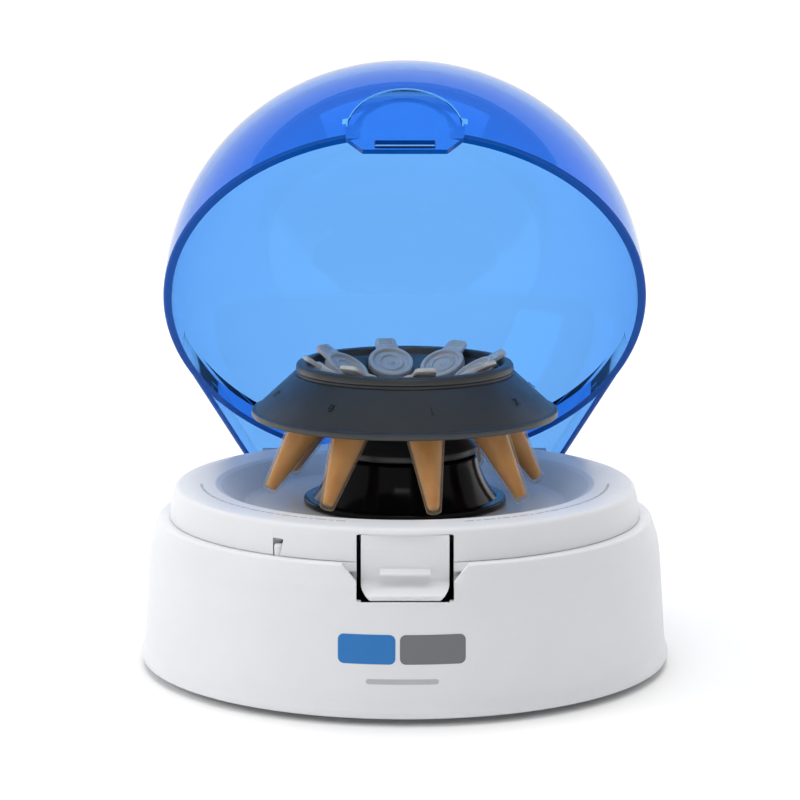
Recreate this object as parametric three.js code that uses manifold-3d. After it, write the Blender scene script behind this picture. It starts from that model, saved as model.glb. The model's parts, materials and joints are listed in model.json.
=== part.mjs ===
// Mini laboratory centrifuge with a hinged see-through lid and an eight-place angle rotor.
// Millimetres, +Z up. It is modelled with the rotor axis on Z and the table at z = 0; the front faces -Y.
// The lid is drawn closed and then swung open about its hinge, which is how the object is shown at rest.
// At the very end the whole group is shifted so that the origin is the bottom centre of its bounding box.
import * as THREE from 'three';
import { mergeVertices } from 'three/addons/utils/BufferGeometryUtils.js';
import Module from 'manifold-3d';

const wasm = await Module();
wasm.setup();

// ---------------------------------------------------------------------------------------------------------------------
// Driving dimensions
// ---------------------------------------------------------------------------------------------------------------------
const GAP = 0.3; // between pieces that touch
const SLIP = 0.4; // around pieces that slide or turn

// Flats around a full turn, by the size of the piece
const FLATS_LARGE = 40;
const FLATS_MEDIUM = 24;
const FLATS_SMALL = 16;
const FLATS_FINE = 10;

// Sample tubes, measured along the tube from the top of its cap
const TUBE_TILT = THREE.MathUtils.degToRad(31);
const TUBE_LENGTH = 39.5;
const TUBE_TOP_R = 19.556; // circle around the rotor axis that the caps' middles lie on
const TUBE_TIP_R = TUBE_TOP_R + TUBE_LENGTH * Math.sin(TUBE_TILT); // distance of the tube's end from that axis
const TUBE_R = 5.35;
const TUBE_WALL = 0.9;
const TUBE_FLANGE_R = TUBE_R + 1.05;
const TUBE_FLANGE_TOP = 2.6;
const TUBE_FLANGE_HEIGHT = 1.5;
const TUBE_STRAIGHT = 17.5; // where the taper starts
const TUBE_END_R = 2.3;
const CAP_R = TUBE_FLANGE_R + 0.2;
const CAP_PLUG_LENGTH = 2.9;
const CAP_TAB_REACH = CAP_R + 4.2;
const SAMPLE_TOP = 12;

// Heights of the base
const UNDERSIDE_Z = 1.8;
const SHOULDER_Z = 42.9; // ledge that the closed lid's rim rests on
const COLLAR_HEIGHT = 9; // of the top ring above the shoulder
const WELL_DEPTH = 6.1;
const TIP_CLEARANCE = 4.8; // between the well's floor and the tubes
const RING_Z = SHOULDER_Z + COLLAR_HEIGHT;
const FLOOR_Z = RING_Z - WELL_DEPTH;
const TUBE_TIP_Z = FLOOR_Z + TIP_CLEARANCE;

// Radii of the base, from the tubes' sweep outwards
const SWEEP_CLEARANCE = 5.5;
const WELL_DRAFT = 8;
const RING_WIDTH = 11.2;
const COVER_DRAFT = 3.3;
const LID_WALL = 2.5;
const LID_PLAY = 0.6; // between the lid's rim and the top cover
const LID_INSET = 5.5; // of the lid's rim from the foot of the base
const WELL_FLOOR_R = TUBE_TIP_R + SWEEP_CLEARANCE;
const WELL_R = WELL_FLOOR_R + WELL_DRAFT;
const RING_R = WELL_R + RING_WIDTH;
const COVER_R = RING_R + COVER_DRAFT; // foot of the top cover's wall, where it stands on the shoulder
const LID_R = COVER_R + LID_PLAY + LID_WALL;
const BASE_R = LID_R + LID_INSET;

// Base plan: a circle with a tail behind it, both flanks of the tail tangent to the circle
const TAIL_REACH = 19; // rear end of the tail behind the circle
const TAIL_CORNER_R = 16;
const FLANK_ANGLE = THREE.MathUtils.degToRad(21); // direction of the flank's normal, from +X
const BASE_REAR = BASE_R + TAIL_REACH;

// Base walls
const HOUSING_WALL = 2.4;
const COVER_WALL = 2.2;
const PLATE_WALL = 2.2;
const COVER_SKIRT = 3.6; // how far the cover reaches down inside the shoulder

// Feet, screws and posts
const FOOT_R = 6.6;
const FOOT_STEM_R = 2.2;
const FOOT_RING = BASE_R - 14.7;
const FOOT_ANGLE = THREE.MathUtils.degToRad(29);
const FRONT_FEET = [FOOT_RING * Math.sin(FOOT_ANGLE), -FOOT_RING * Math.cos(FOOT_ANGLE)];
const REAR_FEET = [34, BASE_REAR - 21.5];
const POST_R = 3.6;
const POST_RING = WELL_R + POST_R;
const SCREW_R = 1.2;
const SCREW_HEAD_R = 2.8;
const SCREW_LENGTH = 12;

// Lid
const LID_HEIGHT = 68.9;
const LID_SQUARENESS = 2.2; // exponent of the dome's section; 2 would be an ellipse
const LID_OPEN = THREE.MathUtils.degToRad(51); // how far the lid stands open at rest
const TONGUE_HEIGHT = 8.6; // rear tongue above the rim
const TONGUE_WALL = 2.2;
const TAB_DROP = 5.3; // below the rim
const TAB_WALL = 1.7;
const TAB_SILL = 1.4; // bar of the tab under the catch window
const TAB_PLAY = 0.76; // between the closed tab and the latch

// Lid hinge
const HINGE_Y = LID_R + 0.5;
const HINGE_Z = SHOULDER_Z + 2.1;
const HINGE_PIN_R = 1.5;
const KNUCKLE_R = HINGE_PIN_R + 2.1;
const KNUCKLE_LENGTH = 10.2;
const ARM_END_R = HINGE_PIN_R + 1.8;
const flankX = (radius) => (radius - HINGE_Y * Math.sin(FLANK_ANGLE)) / Math.cos(FLANK_ANGLE); // at the hinge
const KNUCKLE_OUTER_X = flankX(LID_R - TONGUE_WALL) - 2.05;
const KNUCKLE_INNER_X = KNUCKLE_OUTER_X - KNUCKLE_LENGTH;

// Front latch, and the lid's flat front that stands before it
const LATCH_WIDTH = 23.7;
const LATCH_SLOT = 1.2;
const LATCH_WALL = 2;
const LATCH_LIP_WALL = 1.4;
const LATCH_PRESS = THREE.MathUtils.degToRad(10); // how far it swings when it is pressed
const TAB_WIDTH = LATCH_WIDTH + 9.3;
const TAB_BOTTOM_WIDTH = LATCH_WIDTH - 0.1;
const FACET_Y = Math.sqrt(LID_R ** 2 - (TAB_WIDTH / 2) ** 2); // the lid's flat front, from the rotor axis
const LATCH_TOP_Z = RING_Z - 1.7;
const LATCH_BOTTOM_Z = SHOULDER_Z - 9.4;
const LATCH_FACE_Y = FACET_Y - TAB_WALL - TAB_PLAY; // the latch's flat face, from the rotor axis
const LATCH_HEAD_Y = LATCH_FACE_Y - 0.9;
const LATCH_PIVOT_Y = LATCH_HEAD_Y - 0.5;
const LATCH_LIP_Y = LATCH_FACE_Y + 5.8;
const CATCH_WIDTH = 13.7;
const CATCH_HEIGHT = 1.7;
const CATCH_DEPTH = 2.2;

// Lid switch
const SWITCH_ANGLE = THREE.MathUtils.degToRad(-30.8); // around the base from the front, towards -X
const PLUNGER_R = 1.6;
const PLUNGER_RING = COVER_R - PLUNGER_R;
const PLUNGER_TOP_Z = SHOULDER_Z + 3.1;
const PLUNGER_BOTTOM_Z = SHOULDER_Z - 11.9;
const PLUNGER_WINDOW = 1.6; // slot left open above the plunger
const PLUNGER_TRAVEL = 1.5;

// Motor and its pedestal
const MOTOR_R = 17.8;
const MOTOR_WALL = 1.2;
const MOTOR_CLEARANCE = 7.7; // under the motor
const SHAFT_R = 2.5;
const BEARING_R = SHAFT_R + 3.5;
const BEARING_HEIGHT = 3;
const ARMATURE_R = MOTOR_R - 5.8;
const DAMPER_WALL = 2.8;
const DAMPER_HEIGHT = 8;
const BRACKET_WALL = 2.2;
const BRACKET_DEPTH = 13.3; // of the damper's seat under the bracket's flange
const SHROUD_WALL = 2;
const SHROUD_TOP_R = MOTOR_R + SHROUD_WALL + 1.2;
const SHROUD_R = SHROUD_TOP_R + 8.2;
const SHROUD_TOP_Z = FLOOR_Z + 14.5;
const SHROUD_FLANGE = 1.9;
const MOTOR_TOP_Z = SHROUD_TOP_Z - SHROUD_WALL - 1.8;
const MOTOR_BOTTOM_Z = UNDERSIDE_Z + GAP + PLATE_WALL + MOTOR_CLEARANCE;

// Rotor, built around the tubes' seats
const PLACES = 8;
const FIRST_PLACE = THREE.MathUtils.degToRad(11.7);
const SPOT_DEPTH = 0.6; // of the spot face that a tube's flange sits on
const SEAT_S = TUBE_FLANGE_TOP + TUBE_FLANGE_HEIGHT + GAP; // that spot face, along the tube
const SEAT_WALL = 3; // of the seat ring, measured upright
const BUSH_R = SHAFT_R + 3.5;
const BOSS_R = BUSH_R + 3.5;
const HUB_R = SHROUD_TOP_R;
const HUB_WAIST_R = BOSS_R + 4.5;
const BOWL_DEPTH = 2.22; // of the bowl's wall above the seats
const BEAD_WALL = 3.4;
const BEAD_HEIGHT = 3.1;
const SKIRT_REACH = 12.8; // of the rim beyond the bead
const SKIRT_DROP = 10.5; // of the rim under the bead
const ROTOR_WALL = 2.9; // of the skirt, measured upright
const ROTOR_RIM_HEIGHT = 1.9;
const ROTOR_CLEARANCE = 0.6; // above the pedestal
const NUT_R = BUSH_R + 1.4;
const NUT_HEIGHT = 3;
const NUT_ROOF = 1; // over the shaft's end

// Electrical parts on the rear wall and inside
const JACK_X = -18;
const JACK_Z = 17;
const JACK_SOCKET_R = 3.1;
const JACK_R = JACK_SOCKET_R + 1.5;
const SWITCH_X = 16;
const SWITCH_Z = 19;
const SWITCH_WIDTH = 14;
const SWITCH_HEIGHT = 20;
const ROCKER_TILT = THREE.MathUtils.degToRad(8);
const BOARD_WIDTH = 56;
const BOARD_DEPTH = 30;
const BOARD_Z = 10;
const BOARD_WALL = 1.6;
const BOARD_Y = BASE_REAR - 49.5;

// ---------------------------------------------------------------------------------------------------------------------
// Shape helpers: each takes and returns a BufferGeometry that is one closed body
// ---------------------------------------------------------------------------------------------------------------------
function merged(geometry) {
  const bare = geometry.clone();
  bare.deleteAttribute('normal');
  bare.deleteAttribute('uv');
  const welded = mergeVertices(bare, 1e-5);
  const corner = welded.index.array;
  const place = welded.attributes.position;
  const kept = [];
  let volume = 0;
  const [a, b, c] = [new THREE.Vector3(), new THREE.Vector3(), new THREE.Vector3()];
  for (let i = 0; i < corner.length; i += 3) {
    const [p, q, r] = [corner[i], corner[i + 1], corner[i + 2]];
    if (p === q || q === r || r === p) continue;
    kept.push(p, q, r);
    volume += a.fromBufferAttribute(place, p).dot(
      b.fromBufferAttribute(place, q).cross(c.fromBufferAttribute(place, r)));
  }
  if (volume < 0) kept.reverse();
  welded.setIndex(kept);
  return welded;
}

function toSolid(geometry) {
  const body = merged(geometry);
  return new wasm.Manifold(new wasm.Mesh({
    numProp: 3,
    vertProperties: Float32Array.from(body.attributes.position.array),
    triVerts: Uint32Array.from(body.index.array),
  }));
}

function toGeometry(solid) {
  const { vertProperties, triVerts, numProp } = solid.getMesh();
  const places = new Float32Array((vertProperties.length / numProp) * 3);
  for (let i = 0; i < places.length / 3; i += 1) {
    places.set(vertProperties.subarray(i * numProp, i * numProp + 3), i * 3);
  }
  const geometry = new THREE.BufferGeometry();
  geometry.setAttribute('position', new THREE.BufferAttribute(places, 3));
  geometry.setIndex(new THREE.BufferAttribute(Uint32Array.from(triVerts), 1));
  return geometry;
}

const cut = (body, ...tools) => toGeometry(tools.reduce((left, tool) => left.subtract(toSolid(tool)), toSolid(body)));
const join = (body, ...more) => toGeometry(more.reduce((left, other) => left.add(toSolid(other)), toSolid(body)));
const common = (body, other) => toGeometry(toSolid(body).intersect(toSolid(other)));

// A profile of [radius, height] points turned about the Z axis
function turned(profile, segments = FLATS_MEDIUM) {
  const points = profile.map(([r, z]) => new THREE.Vector2(r, z));
  return new THREE.LatheGeometry(points, segments).rotateX(Math.PI / 2);
}

// A ring, or with no inner radius a disc, between two heights
function ring(inner, outer, z0, z1, segments = FLATS_MEDIUM) {
  if (inner <= 0) return turned([[0, z0], [outer, z0], [outer, z1], [0, z1]], segments);
  return turned([[inner, z0], [outer, z0], [outer, z1], [inner, z1], [inner, z0]], segments);
}

function box(x0, x1, y0, y1, z0, z1) {
  return new THREE.BoxGeometry(x1 - x0, y1 - y0, z1 - z0)
    .translate((x0 + x1) / 2, (y0 + y1) / 2, (z0 + z1) / 2);
}

// A cylinder along X
const rodX = (radius, x0, x1, y, z, segments = FLATS_FINE) => new THREE.CylinderGeometry(radius, radius, x1 - x0, segments)
  .rotateZ(Math.PI / 2).translate((x0 + x1) / 2, y, z);

// A cylinder along Y
const rodY = (radius, y0, y1, x, z, segments = FLATS_SMALL) => new THREE.CylinderGeometry(radius, radius, y1 - y0, segments)
  .translate(x, (y0 + y1) / 2, z);

// An upright cylinder
const rodZ = (radius, x, y, z0, z1, segments = FLATS_FINE) => ring(0, radius, z0, z1, segments).translate(x, y, 0);

// An outline in the XY plane carried up from z0 to z1
function upright(outline, z0, z1) {
  const shape = new THREE.Shape(outline.map(([x, y]) => new THREE.Vector2(x, y)));
  return new THREE.ExtrudeGeometry(shape, { depth: z1 - z0, bevelEnabled: false }).translate(0, 0, z0);
}

// An outline in the YZ plane carried along X from x0 to x1
function sideways(outline, x0, x1) {
  const shape = new THREE.Shape(outline.map(([y, z]) => new THREE.Vector2(y, z)));
  return new THREE.ExtrudeGeometry(shape, { depth: x1 - x0, bevelEnabled: false })
    .applyMatrix4(new THREE.Matrix4().set(0, 0, 1, x0, 1, 0, 0, 0, 0, 1, 0, 0, 0, 0, 0, 1));
}

// An outline in the XZ plane carried back along Y from y0 to y1
function frontwise(outline, y0, y1) {
  const shape = new THREE.Shape(outline.map(([x, z]) => new THREE.Vector2(x, z)));
  return new THREE.ExtrudeGeometry(shape, { depth: y1 - y0, bevelEnabled: false })
    .rotateX(Math.PI / 2).translate(0, y1, 0);
}

// Outlines with the same number of points, stacked at rising heights and closed at both ends
function stacked(levels) {
  const count = levels[0].outline.length;
  const places = levels.flatMap(({ z, outline }) => outline.flatMap(([x, y]) => [x, y, z]));
  const faces = [];
  for (let level = 0; level + 1 < levels.length; level += 1) {
    for (let i = 0; i < count; i += 1) {
      const a = level * count + i;
      const b = level * count + ((i + 1) % count);
      faces.push(a, b, b + count, a, b + count, a + count);
    }
  }
  const top = (levels.length - 1) * count;
  const cap = (outline) => THREE.ShapeUtils.triangulateShape(outline.map(([x, y]) => new THREE.Vector2(x, y)), []);
  for (const [i, j, k] of cap(levels[0].outline)) faces.push(i, k, j);
  for (const [i, j, k] of cap(levels[levels.length - 1].outline)) faces.push(top + i, top + j, top + k);
  const geometry = new THREE.BufferGeometry();
  geometry.setAttribute('position', new THREE.Float32BufferAttribute(places, 3));
  geometry.setIndex(faces);
  return geometry;
}

// The base's plan drawn in by an inset: front arc, straight flanks, rounded rear corners
const TAIL_Y = BASE_REAR - TAIL_CORNER_R;
const TAIL_X = (BASE_R - TAIL_CORNER_R - TAIL_Y * Math.sin(FLANK_ANGLE)) / Math.cos(FLANK_ANGLE);
function planOutline(inset, frontSteps = 28, cornerSteps = 3) {
  const outline = [];
  const arc = (x, y, radius, from, to, steps) => {
    for (let i = 0; i <= steps; i += 1) {
      const angle = from + ((to - from) * i) / steps;
      outline.push([x + radius * Math.cos(angle), y + radius * Math.sin(angle)]);
    }
  };
  arc(0, 0, BASE_R - inset, Math.PI - FLANK_ANGLE, 2 * Math.PI + FLANK_ANGLE, frontSteps);
  arc(TAIL_X, TAIL_Y, TAIL_CORNER_R - inset, FLANK_ANGLE, Math.PI / 2, cornerSteps);
  arc(-TAIL_X, TAIL_Y, TAIL_CORNER_R - inset, Math.PI / 2, Math.PI - FLANK_ANGLE, cornerSteps);
  return outline;
}

// The dome's outside or, drawn in by an inset, its inside, standing on a level
function dome(inset, z0, steps = 8, segments = FLATS_LARGE) {
  const power = 2 / LID_SQUARENESS;
  const profile = [[0, z0]];
  for (let i = 0; i < steps; i += 1) {
    const angle = (i / steps) * (Math.PI / 2);
    profile.push([
      (LID_R - inset) * Math.cos(angle) ** power,
      z0 + (LID_HEIGHT - inset) * Math.sin(angle) ** power,
    ]);
  }
  profile.push([0, z0 + LID_HEIGHT - inset]);
  return turned(profile, segments);
}

// Turns a geometry drawn at the front of the base to an angle towards +X
const swing = (geometry, angle) => geometry.rotateZ(angle);

// ---------------------------------------------------------------------------------------------------------------------
// The scene graph
// ---------------------------------------------------------------------------------------------------------------------
const centrifuge = new THREE.Group();
const lidGroup = new THREE.Group();
centrifuge.add(lidGroup);

const finish = (color, roughness, metalness = 0, extra = {}) => ({ color, roughness, metalness, ...extra });
const WHITE_ABS = finish(0xe9ebee, 0.42);
const GREY_ABS = finish(0xb9bdc2, 0.5);
const BLACK_ABS = finish(0x17191b, 0.4);
const ROTOR_PP = finish(0x2c3236, 0.46);
const PEDESTAL_GLOSS = finish(0x0b0b0d, 0.16);
const LID_PC = finish(0x1c62d8, 0.08, 0, { transparent: true, opacity: 0.55 });
const TUBE_PP = finish(0xdfe4e6, 0.3, 0, { transparent: true, opacity: 0.5 });
const CAP_PP = finish(0x9aa4ab, 0.35, 0, { transparent: true, opacity: 0.8 });
const SAMPLE_AMBER = finish(0xc18a50, 0.12, 0, { transparent: true, opacity: 0.9 });
const STEEL = finish(0xb4b7ba, 0.3, 1);
const BRASS = finish(0xb08d4f, 0.35, 1);
const COPPER = finish(0x9c5a34, 0.45, 0.8);
const RUBBER = finish(0x1b1b1c, 0.85);
const BOARD_GREEN = finish(0x1f6b3c, 0.5);

function piece(name, geometry, look, parent = centrifuge) {
  const mesh = new THREE.Mesh(merged(geometry), new THREE.MeshStandardMaterial(look));
  mesh.name = name;
  parent.add(mesh);
  return mesh;
}

// ---------------------------------------------------------------------------------------------------------------------
// Base: housing, top cover, bottom plate, feet and screws
// ---------------------------------------------------------------------------------------------------------------------
const RIM_Z = SHOULDER_Z + GAP; // underside of the closed lid's rim
const POSTS = [45, 135, 225, 315].map((angle) => THREE.MathUtils.degToRad(angle))
  .map((angle) => [POST_RING * Math.cos(angle), POST_RING * Math.sin(angle)]);
const FEET = [
  ['foot_front_left', -FRONT_FEET[0], FRONT_FEET[1]],
  ['foot_front_right', FRONT_FEET[0], FRONT_FEET[1]],
  ['foot_rear_left', -REAR_FEET[0], REAR_FEET[1]],
  ['foot_rear_right', REAR_FEET[0], REAR_FEET[1]],
];
const PLATE_TOP_Z = UNDERSIDE_Z + GAP + PLATE_WALL;

// How far the housing's wall leans in from the base plan, from its underside to the shoulder
const HOUSING_LEAN = [
  [UNDERSIDE_Z, 1.6], [UNDERSIDE_Z + 0.7, 0.4], [UNDERSIDE_Z + 1.9, 0.1], [UNDERSIDE_Z + 5, 1.1],
  [SHOULDER_Z - 10.8, 2.7], [SHOULDER_Z - 6, 3.4], [SHOULDER_Z - 3, 4.4], [SHOULDER_Z - 1.2, 5.1],
  [SHOULDER_Z - 0.3, 5.9], [SHOULDER_Z, 6.8],
];

// The trapezoid that the lid's front tab fills, widened by a clearance
function tabOutline(clearance) {
  const foot = RIM_Z - TAB_DROP - clearance;
  return [
    [-TAB_WIDTH / 2 - clearance, SHOULDER_Z + 1], [-TAB_WIDTH / 2 - clearance, SHOULDER_Z - clearance],
    [-TAB_BOTTOM_WIDTH / 2 - clearance, foot], [TAB_BOTTOM_WIDTH / 2 + clearance, foot],
    [TAB_WIDTH / 2 + clearance, SHOULDER_Z - clearance], [TAB_WIDTH / 2 + clearance, SHOULDER_Z + 1],
  ];
}

const LATCH_WINDOW_X = LATCH_WIDTH / 2 + LATCH_SLOT;
const latchWindow = (top, bottom, corner) => [
  [-LATCH_WINDOW_X, bottom + corner], [-LATCH_WINDOW_X + corner, bottom],
  [LATCH_WINDOW_X - corner, bottom], [LATCH_WINDOW_X, bottom + corner],
  [LATCH_WINDOW_X, top - LATCH_SLOT / 2], [LATCH_WINDOW_X - LATCH_SLOT / 2, top],
  [-LATCH_WINDOW_X + LATCH_SLOT / 2, top], [-LATCH_WINDOW_X, top - LATCH_SLOT / 2],
];

function lowerHousing() {
  const outside = stacked(HOUSING_LEAN.map(([z, lean]) => ({ z, outline: planOutline(lean) })));
  const roof = SHOULDER_Z - HOUSING_WALL;
  const inside = stacked([
    { z: UNDERSIDE_Z - 1, outline: planOutline(HOUSING_WALL + 1.1) },
    { z: UNDERSIDE_Z + 5, outline: planOutline(HOUSING_WALL + 1.1) },
    { z: SHOULDER_Z - 6, outline: planOutline(HOUSING_WALL + 3.4) },
    { z: roof, outline: planOutline(HOUSING_WALL + 4.6) },
  ]);
  const mouth = ring(0, COVER_R - 1 + GAP, roof - 4, SHOULDER_Z + 1, FLATS_LARGE);
  const tabRecess = frontwise(tabOutline(SLIP), -BASE_R, -FACET_Y + TAB_WALL + SLIP);
  const window = frontwise(
    latchWindow(SHOULDER_Z + 1, LATCH_BOTTOM_Z - SLIP, 1.6), -BASE_R - 1, -BASE_R + 14);
  // The window's lower edge slopes down inwards, along the way of the lip when the latch is pressed
  const [reach, drop] = [LATCH_LIP_Y - LATCH_PIVOT_Y, LATCH_TOP_Z - LATCH_BOTTOM_Z];
  const pressedY = -LATCH_PIVOT_Y - reach * Math.cos(LATCH_PRESS) + drop * Math.sin(LATCH_PRESS);
  const pressedZ = LATCH_TOP_Z - reach * Math.sin(LATCH_PRESS) - drop * Math.cos(LATCH_PRESS);
  const sill = sideways([
    [-LATCH_LIP_Y - SLIP, LATCH_BOTTOM_Z - SLIP], [pressedY, pressedZ - SLIP], [pressedY, LATCH_BOTTOM_Z],
    [-LATCH_LIP_Y - SLIP, LATCH_BOTTOM_Z],
  ], -LATCH_WIDTH / 2, LATCH_WIDTH / 2);
  const plungerWay = swing(rodZ(PLUNGER_R + GAP, 0, -PLUNGER_RING, roof - 1, SHOULDER_Z + 1), SWITCH_ANGLE);
  const jackHole = rodY(JACK_R + GAP, BASE_REAR - 8, BASE_REAR + 1, JACK_X, JACK_Z);
  const switchHole = box(
    SWITCH_X - SWITCH_WIDTH / 2 + 1, SWITCH_X + SWITCH_WIDTH / 2 - 1, BASE_REAR - 8, BASE_REAR + 1,
    SWITCH_Z - SWITCH_HEIGHT / 2 + 1, SWITCH_Z + SWITCH_HEIGHT / 2 - 1);
  const knuckles = [-1, 1].flatMap((side) => {
    const x0 = side < 0 ? -KNUCKLE_OUTER_X : KNUCKLE_INNER_X;
    const x1 = side < 0 ? -KNUCKLE_INNER_X : KNUCKLE_OUTER_X;
    const web = box(x0, x1, HINGE_Y - KNUCKLE_R + 0.4, HINGE_Y + KNUCKLE_R - 0.4, SHOULDER_Z - 1, HINGE_Z);
    return [rodX(KNUCKLE_R, x0, x1, HINGE_Y, HINGE_Z), web];
  });
  const pinBores = [-1, 1].map((side) => {
    const near = KNUCKLE_INNER_X + 1.2;
    const far = KNUCKLE_OUTER_X + 1;
    return rodX(HINGE_PIN_R + GAP, side < 0 ? -far : near, side < 0 ? -near : far, HINGE_Y, HINGE_Z);
  });
  const armPockets = [-1, 1].map((side) => {
    const near = KNUCKLE_OUTER_X + 0.01;
    return rodX(ARM_END_R + SLIP, side < 0 ? -60 : near, side < 0 ? -near : 60, HINGE_Y, HINGE_Z);
  });
  return cut(
    join(cut(outside, inside, mouth), ...knuckles),
    tabRecess, window, sill, plungerWay, jackHole, switchHole, ...pinBores, ...armPockets);
}

const COVER_FOOT_Z = SHOULDER_Z - COVER_SKIRT;
const COVER_UNDER_Z = FLOOR_Z - COVER_WALL; // underside of the well's floor
function topCover() {
  const shell = turned([
    [COVER_R - 1, COVER_FOOT_Z], [COVER_R - 1, RIM_Z], [COVER_R, RIM_Z], [COVER_R - 0.2, RIM_Z + 1.4],
    [COVER_R - 0.5, RIM_Z + 3], [RING_R + 1.6, RING_Z - 1.3], [RING_R + 1, RING_Z - 0.4], [RING_R, RING_Z],
    [WELL_R + 1, RING_Z + 0.2], [WELL_R + 0.1, RING_Z], [WELL_R - 0.6, RING_Z - 0.7],
    [WELL_FLOOR_R + 0.9, FLOOR_Z + 0.6], [WELL_FLOOR_R, FLOOR_Z],
    [MOTOR_R + SLIP, FLOOR_Z], [MOTOR_R + SLIP, COVER_UNDER_Z], [WELL_FLOOR_R + 0.6, COVER_UNDER_Z],
    [WELL_R + 0.4, RING_Z - COVER_WALL], [RING_R - 1.2, RING_Z - COVER_WALL],
    [COVER_R - 1 - COVER_WALL, RIM_Z + 3], [COVER_R - 1 - COVER_WALL, COVER_FOOT_Z], [COVER_R - 1, COVER_FOOT_Z],
  ], FLATS_LARGE);
  const posts = POSTS.map(([x, y]) => rodZ(POST_R, x, y, PLATE_TOP_Z + GAP, RING_Z - 1));
  const bores = POSTS.map(([x, y]) => rodZ(SCREW_R + GAP, x, y, PLATE_TOP_Z, PLATE_TOP_Z + SCREW_LENGTH));
  const window = frontwise(
    latchWindow(LATCH_TOP_Z + SLIP, COVER_FOOT_Z - 4, 0.1), -BASE_R, -LATCH_FACE_Y + LATCH_WALL + 5);
  const tabRoom = frontwise(tabOutline(SLIP), -BASE_R, -FACET_Y + TAB_WALL + SLIP);
  const plungerWay = swing(
    rodZ(PLUNGER_R + GAP, 0, -PLUNGER_RING, COVER_FOOT_Z - 1, PLUNGER_TOP_Z + PLUNGER_WINDOW), SWITCH_ANGLE);
  const screwWays = BRACKET_SCREWS.map(([x, y]) => rodZ(SCREW_R + GAP, x, y, COVER_UNDER_Z - 1, FLOOR_Z - 0.7));
  return cut(join(shell, ...posts), ...bores, window, tabRoom, plungerWay, ...screwWays);
}

function bottomPlate() {
  const z0 = UNDERSIDE_Z + GAP;
  const disc = upright(planOutline(HOUSING_WALL + 1.1 + SLIP), z0, PLATE_TOP_Z);
  const standoffs = BOARD_HOLES.map(([x, y]) => rodZ(2.4, x, y, z0 + 1, BOARD_Z - GAP));
  const footHoles = FEET.map(([, x, y]) => rodZ(FOOT_STEM_R + GAP, x, y, z0 - 1, PLATE_TOP_Z + 1));
  const screwHoles = POSTS.map(([x, y]) => rodZ(SCREW_R + GAP, x, y, z0 - 1, PLATE_TOP_Z + 1));
  const screwSinks = POSTS.map(([x, y]) => rodZ(SCREW_HEAD_R + GAP, x, y, z0 - 1, z0 + 1.1));
  const vents = [-2, -1, 0, 1, 2].map((i) => box(i * 9 - 1.5, i * 9 + 1.5, -14, 14, z0 - 1, PLATE_TOP_Z + 1));
  return cut(join(disc, ...standoffs), ...footHoles, ...screwHoles, ...screwSinks, ...vents);
}

// A pan-head screw standing upright with its head down
function screw(headZ, length) {
  return turned([
    [0, headZ], [SCREW_HEAD_R - 0.8, headZ], [SCREW_HEAD_R, headZ + 0.5], [SCREW_HEAD_R, headZ + 0.9],
    [SCREW_R, headZ + 0.9], [SCREW_R, headZ + length - 1], [0, headZ + length],
  ], FLATS_FINE);
}

const BRACKET_R = MOTOR_R + GAP + DAMPER_WALL + GAP; // inside of the bracket's cup
const BRACKET_FLANGE_R = BRACKET_R + BRACKET_WALL + 9.6;
const BRACKET_SCREW_X = BRACKET_FLANGE_R - 4.5;
const BRACKET_SCREWS = [[-BRACKET_SCREW_X, 0], [BRACKET_SCREW_X, 0]];
const BOARD_HOLES = [[-BOARD_WIDTH / 2 + 5, BOARD_Y], [BOARD_WIDTH / 2 - 5, BOARD_Y]];

piece('lower_housing', lowerHousing(), WHITE_ABS);
piece('top_cover', topCover(), WHITE_ABS);
piece('bottom_plate', bottomPlate(), GREY_ABS);

for (const [name, x, y] of FEET) {
  const stemTop = PLATE_TOP_Z + GAP;
  const foot = turned([
    [0, 0], [FOOT_R - 0.6, 0], [FOOT_R, 0.5], [FOOT_R, UNDERSIDE_Z], [FOOT_STEM_R, UNDERSIDE_Z],
    [FOOT_STEM_R, stemTop], [FOOT_STEM_R + 0.9, stemTop + 0.4], [FOOT_STEM_R, stemTop + 1.8], [0, stemTop + 1.8],
  ], FLATS_SMALL);
  piece(name, foot.translate(x, y, 0), RUBBER);
}

POSTS.forEach(([x, y], i) => {
  const geometry = screw(UNDERSIDE_Z + GAP, SCREW_LENGTH).translate(x, y, -0.1);
  piece(`base_screw_${i + 1}`, geometry, STEEL);
});

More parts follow.
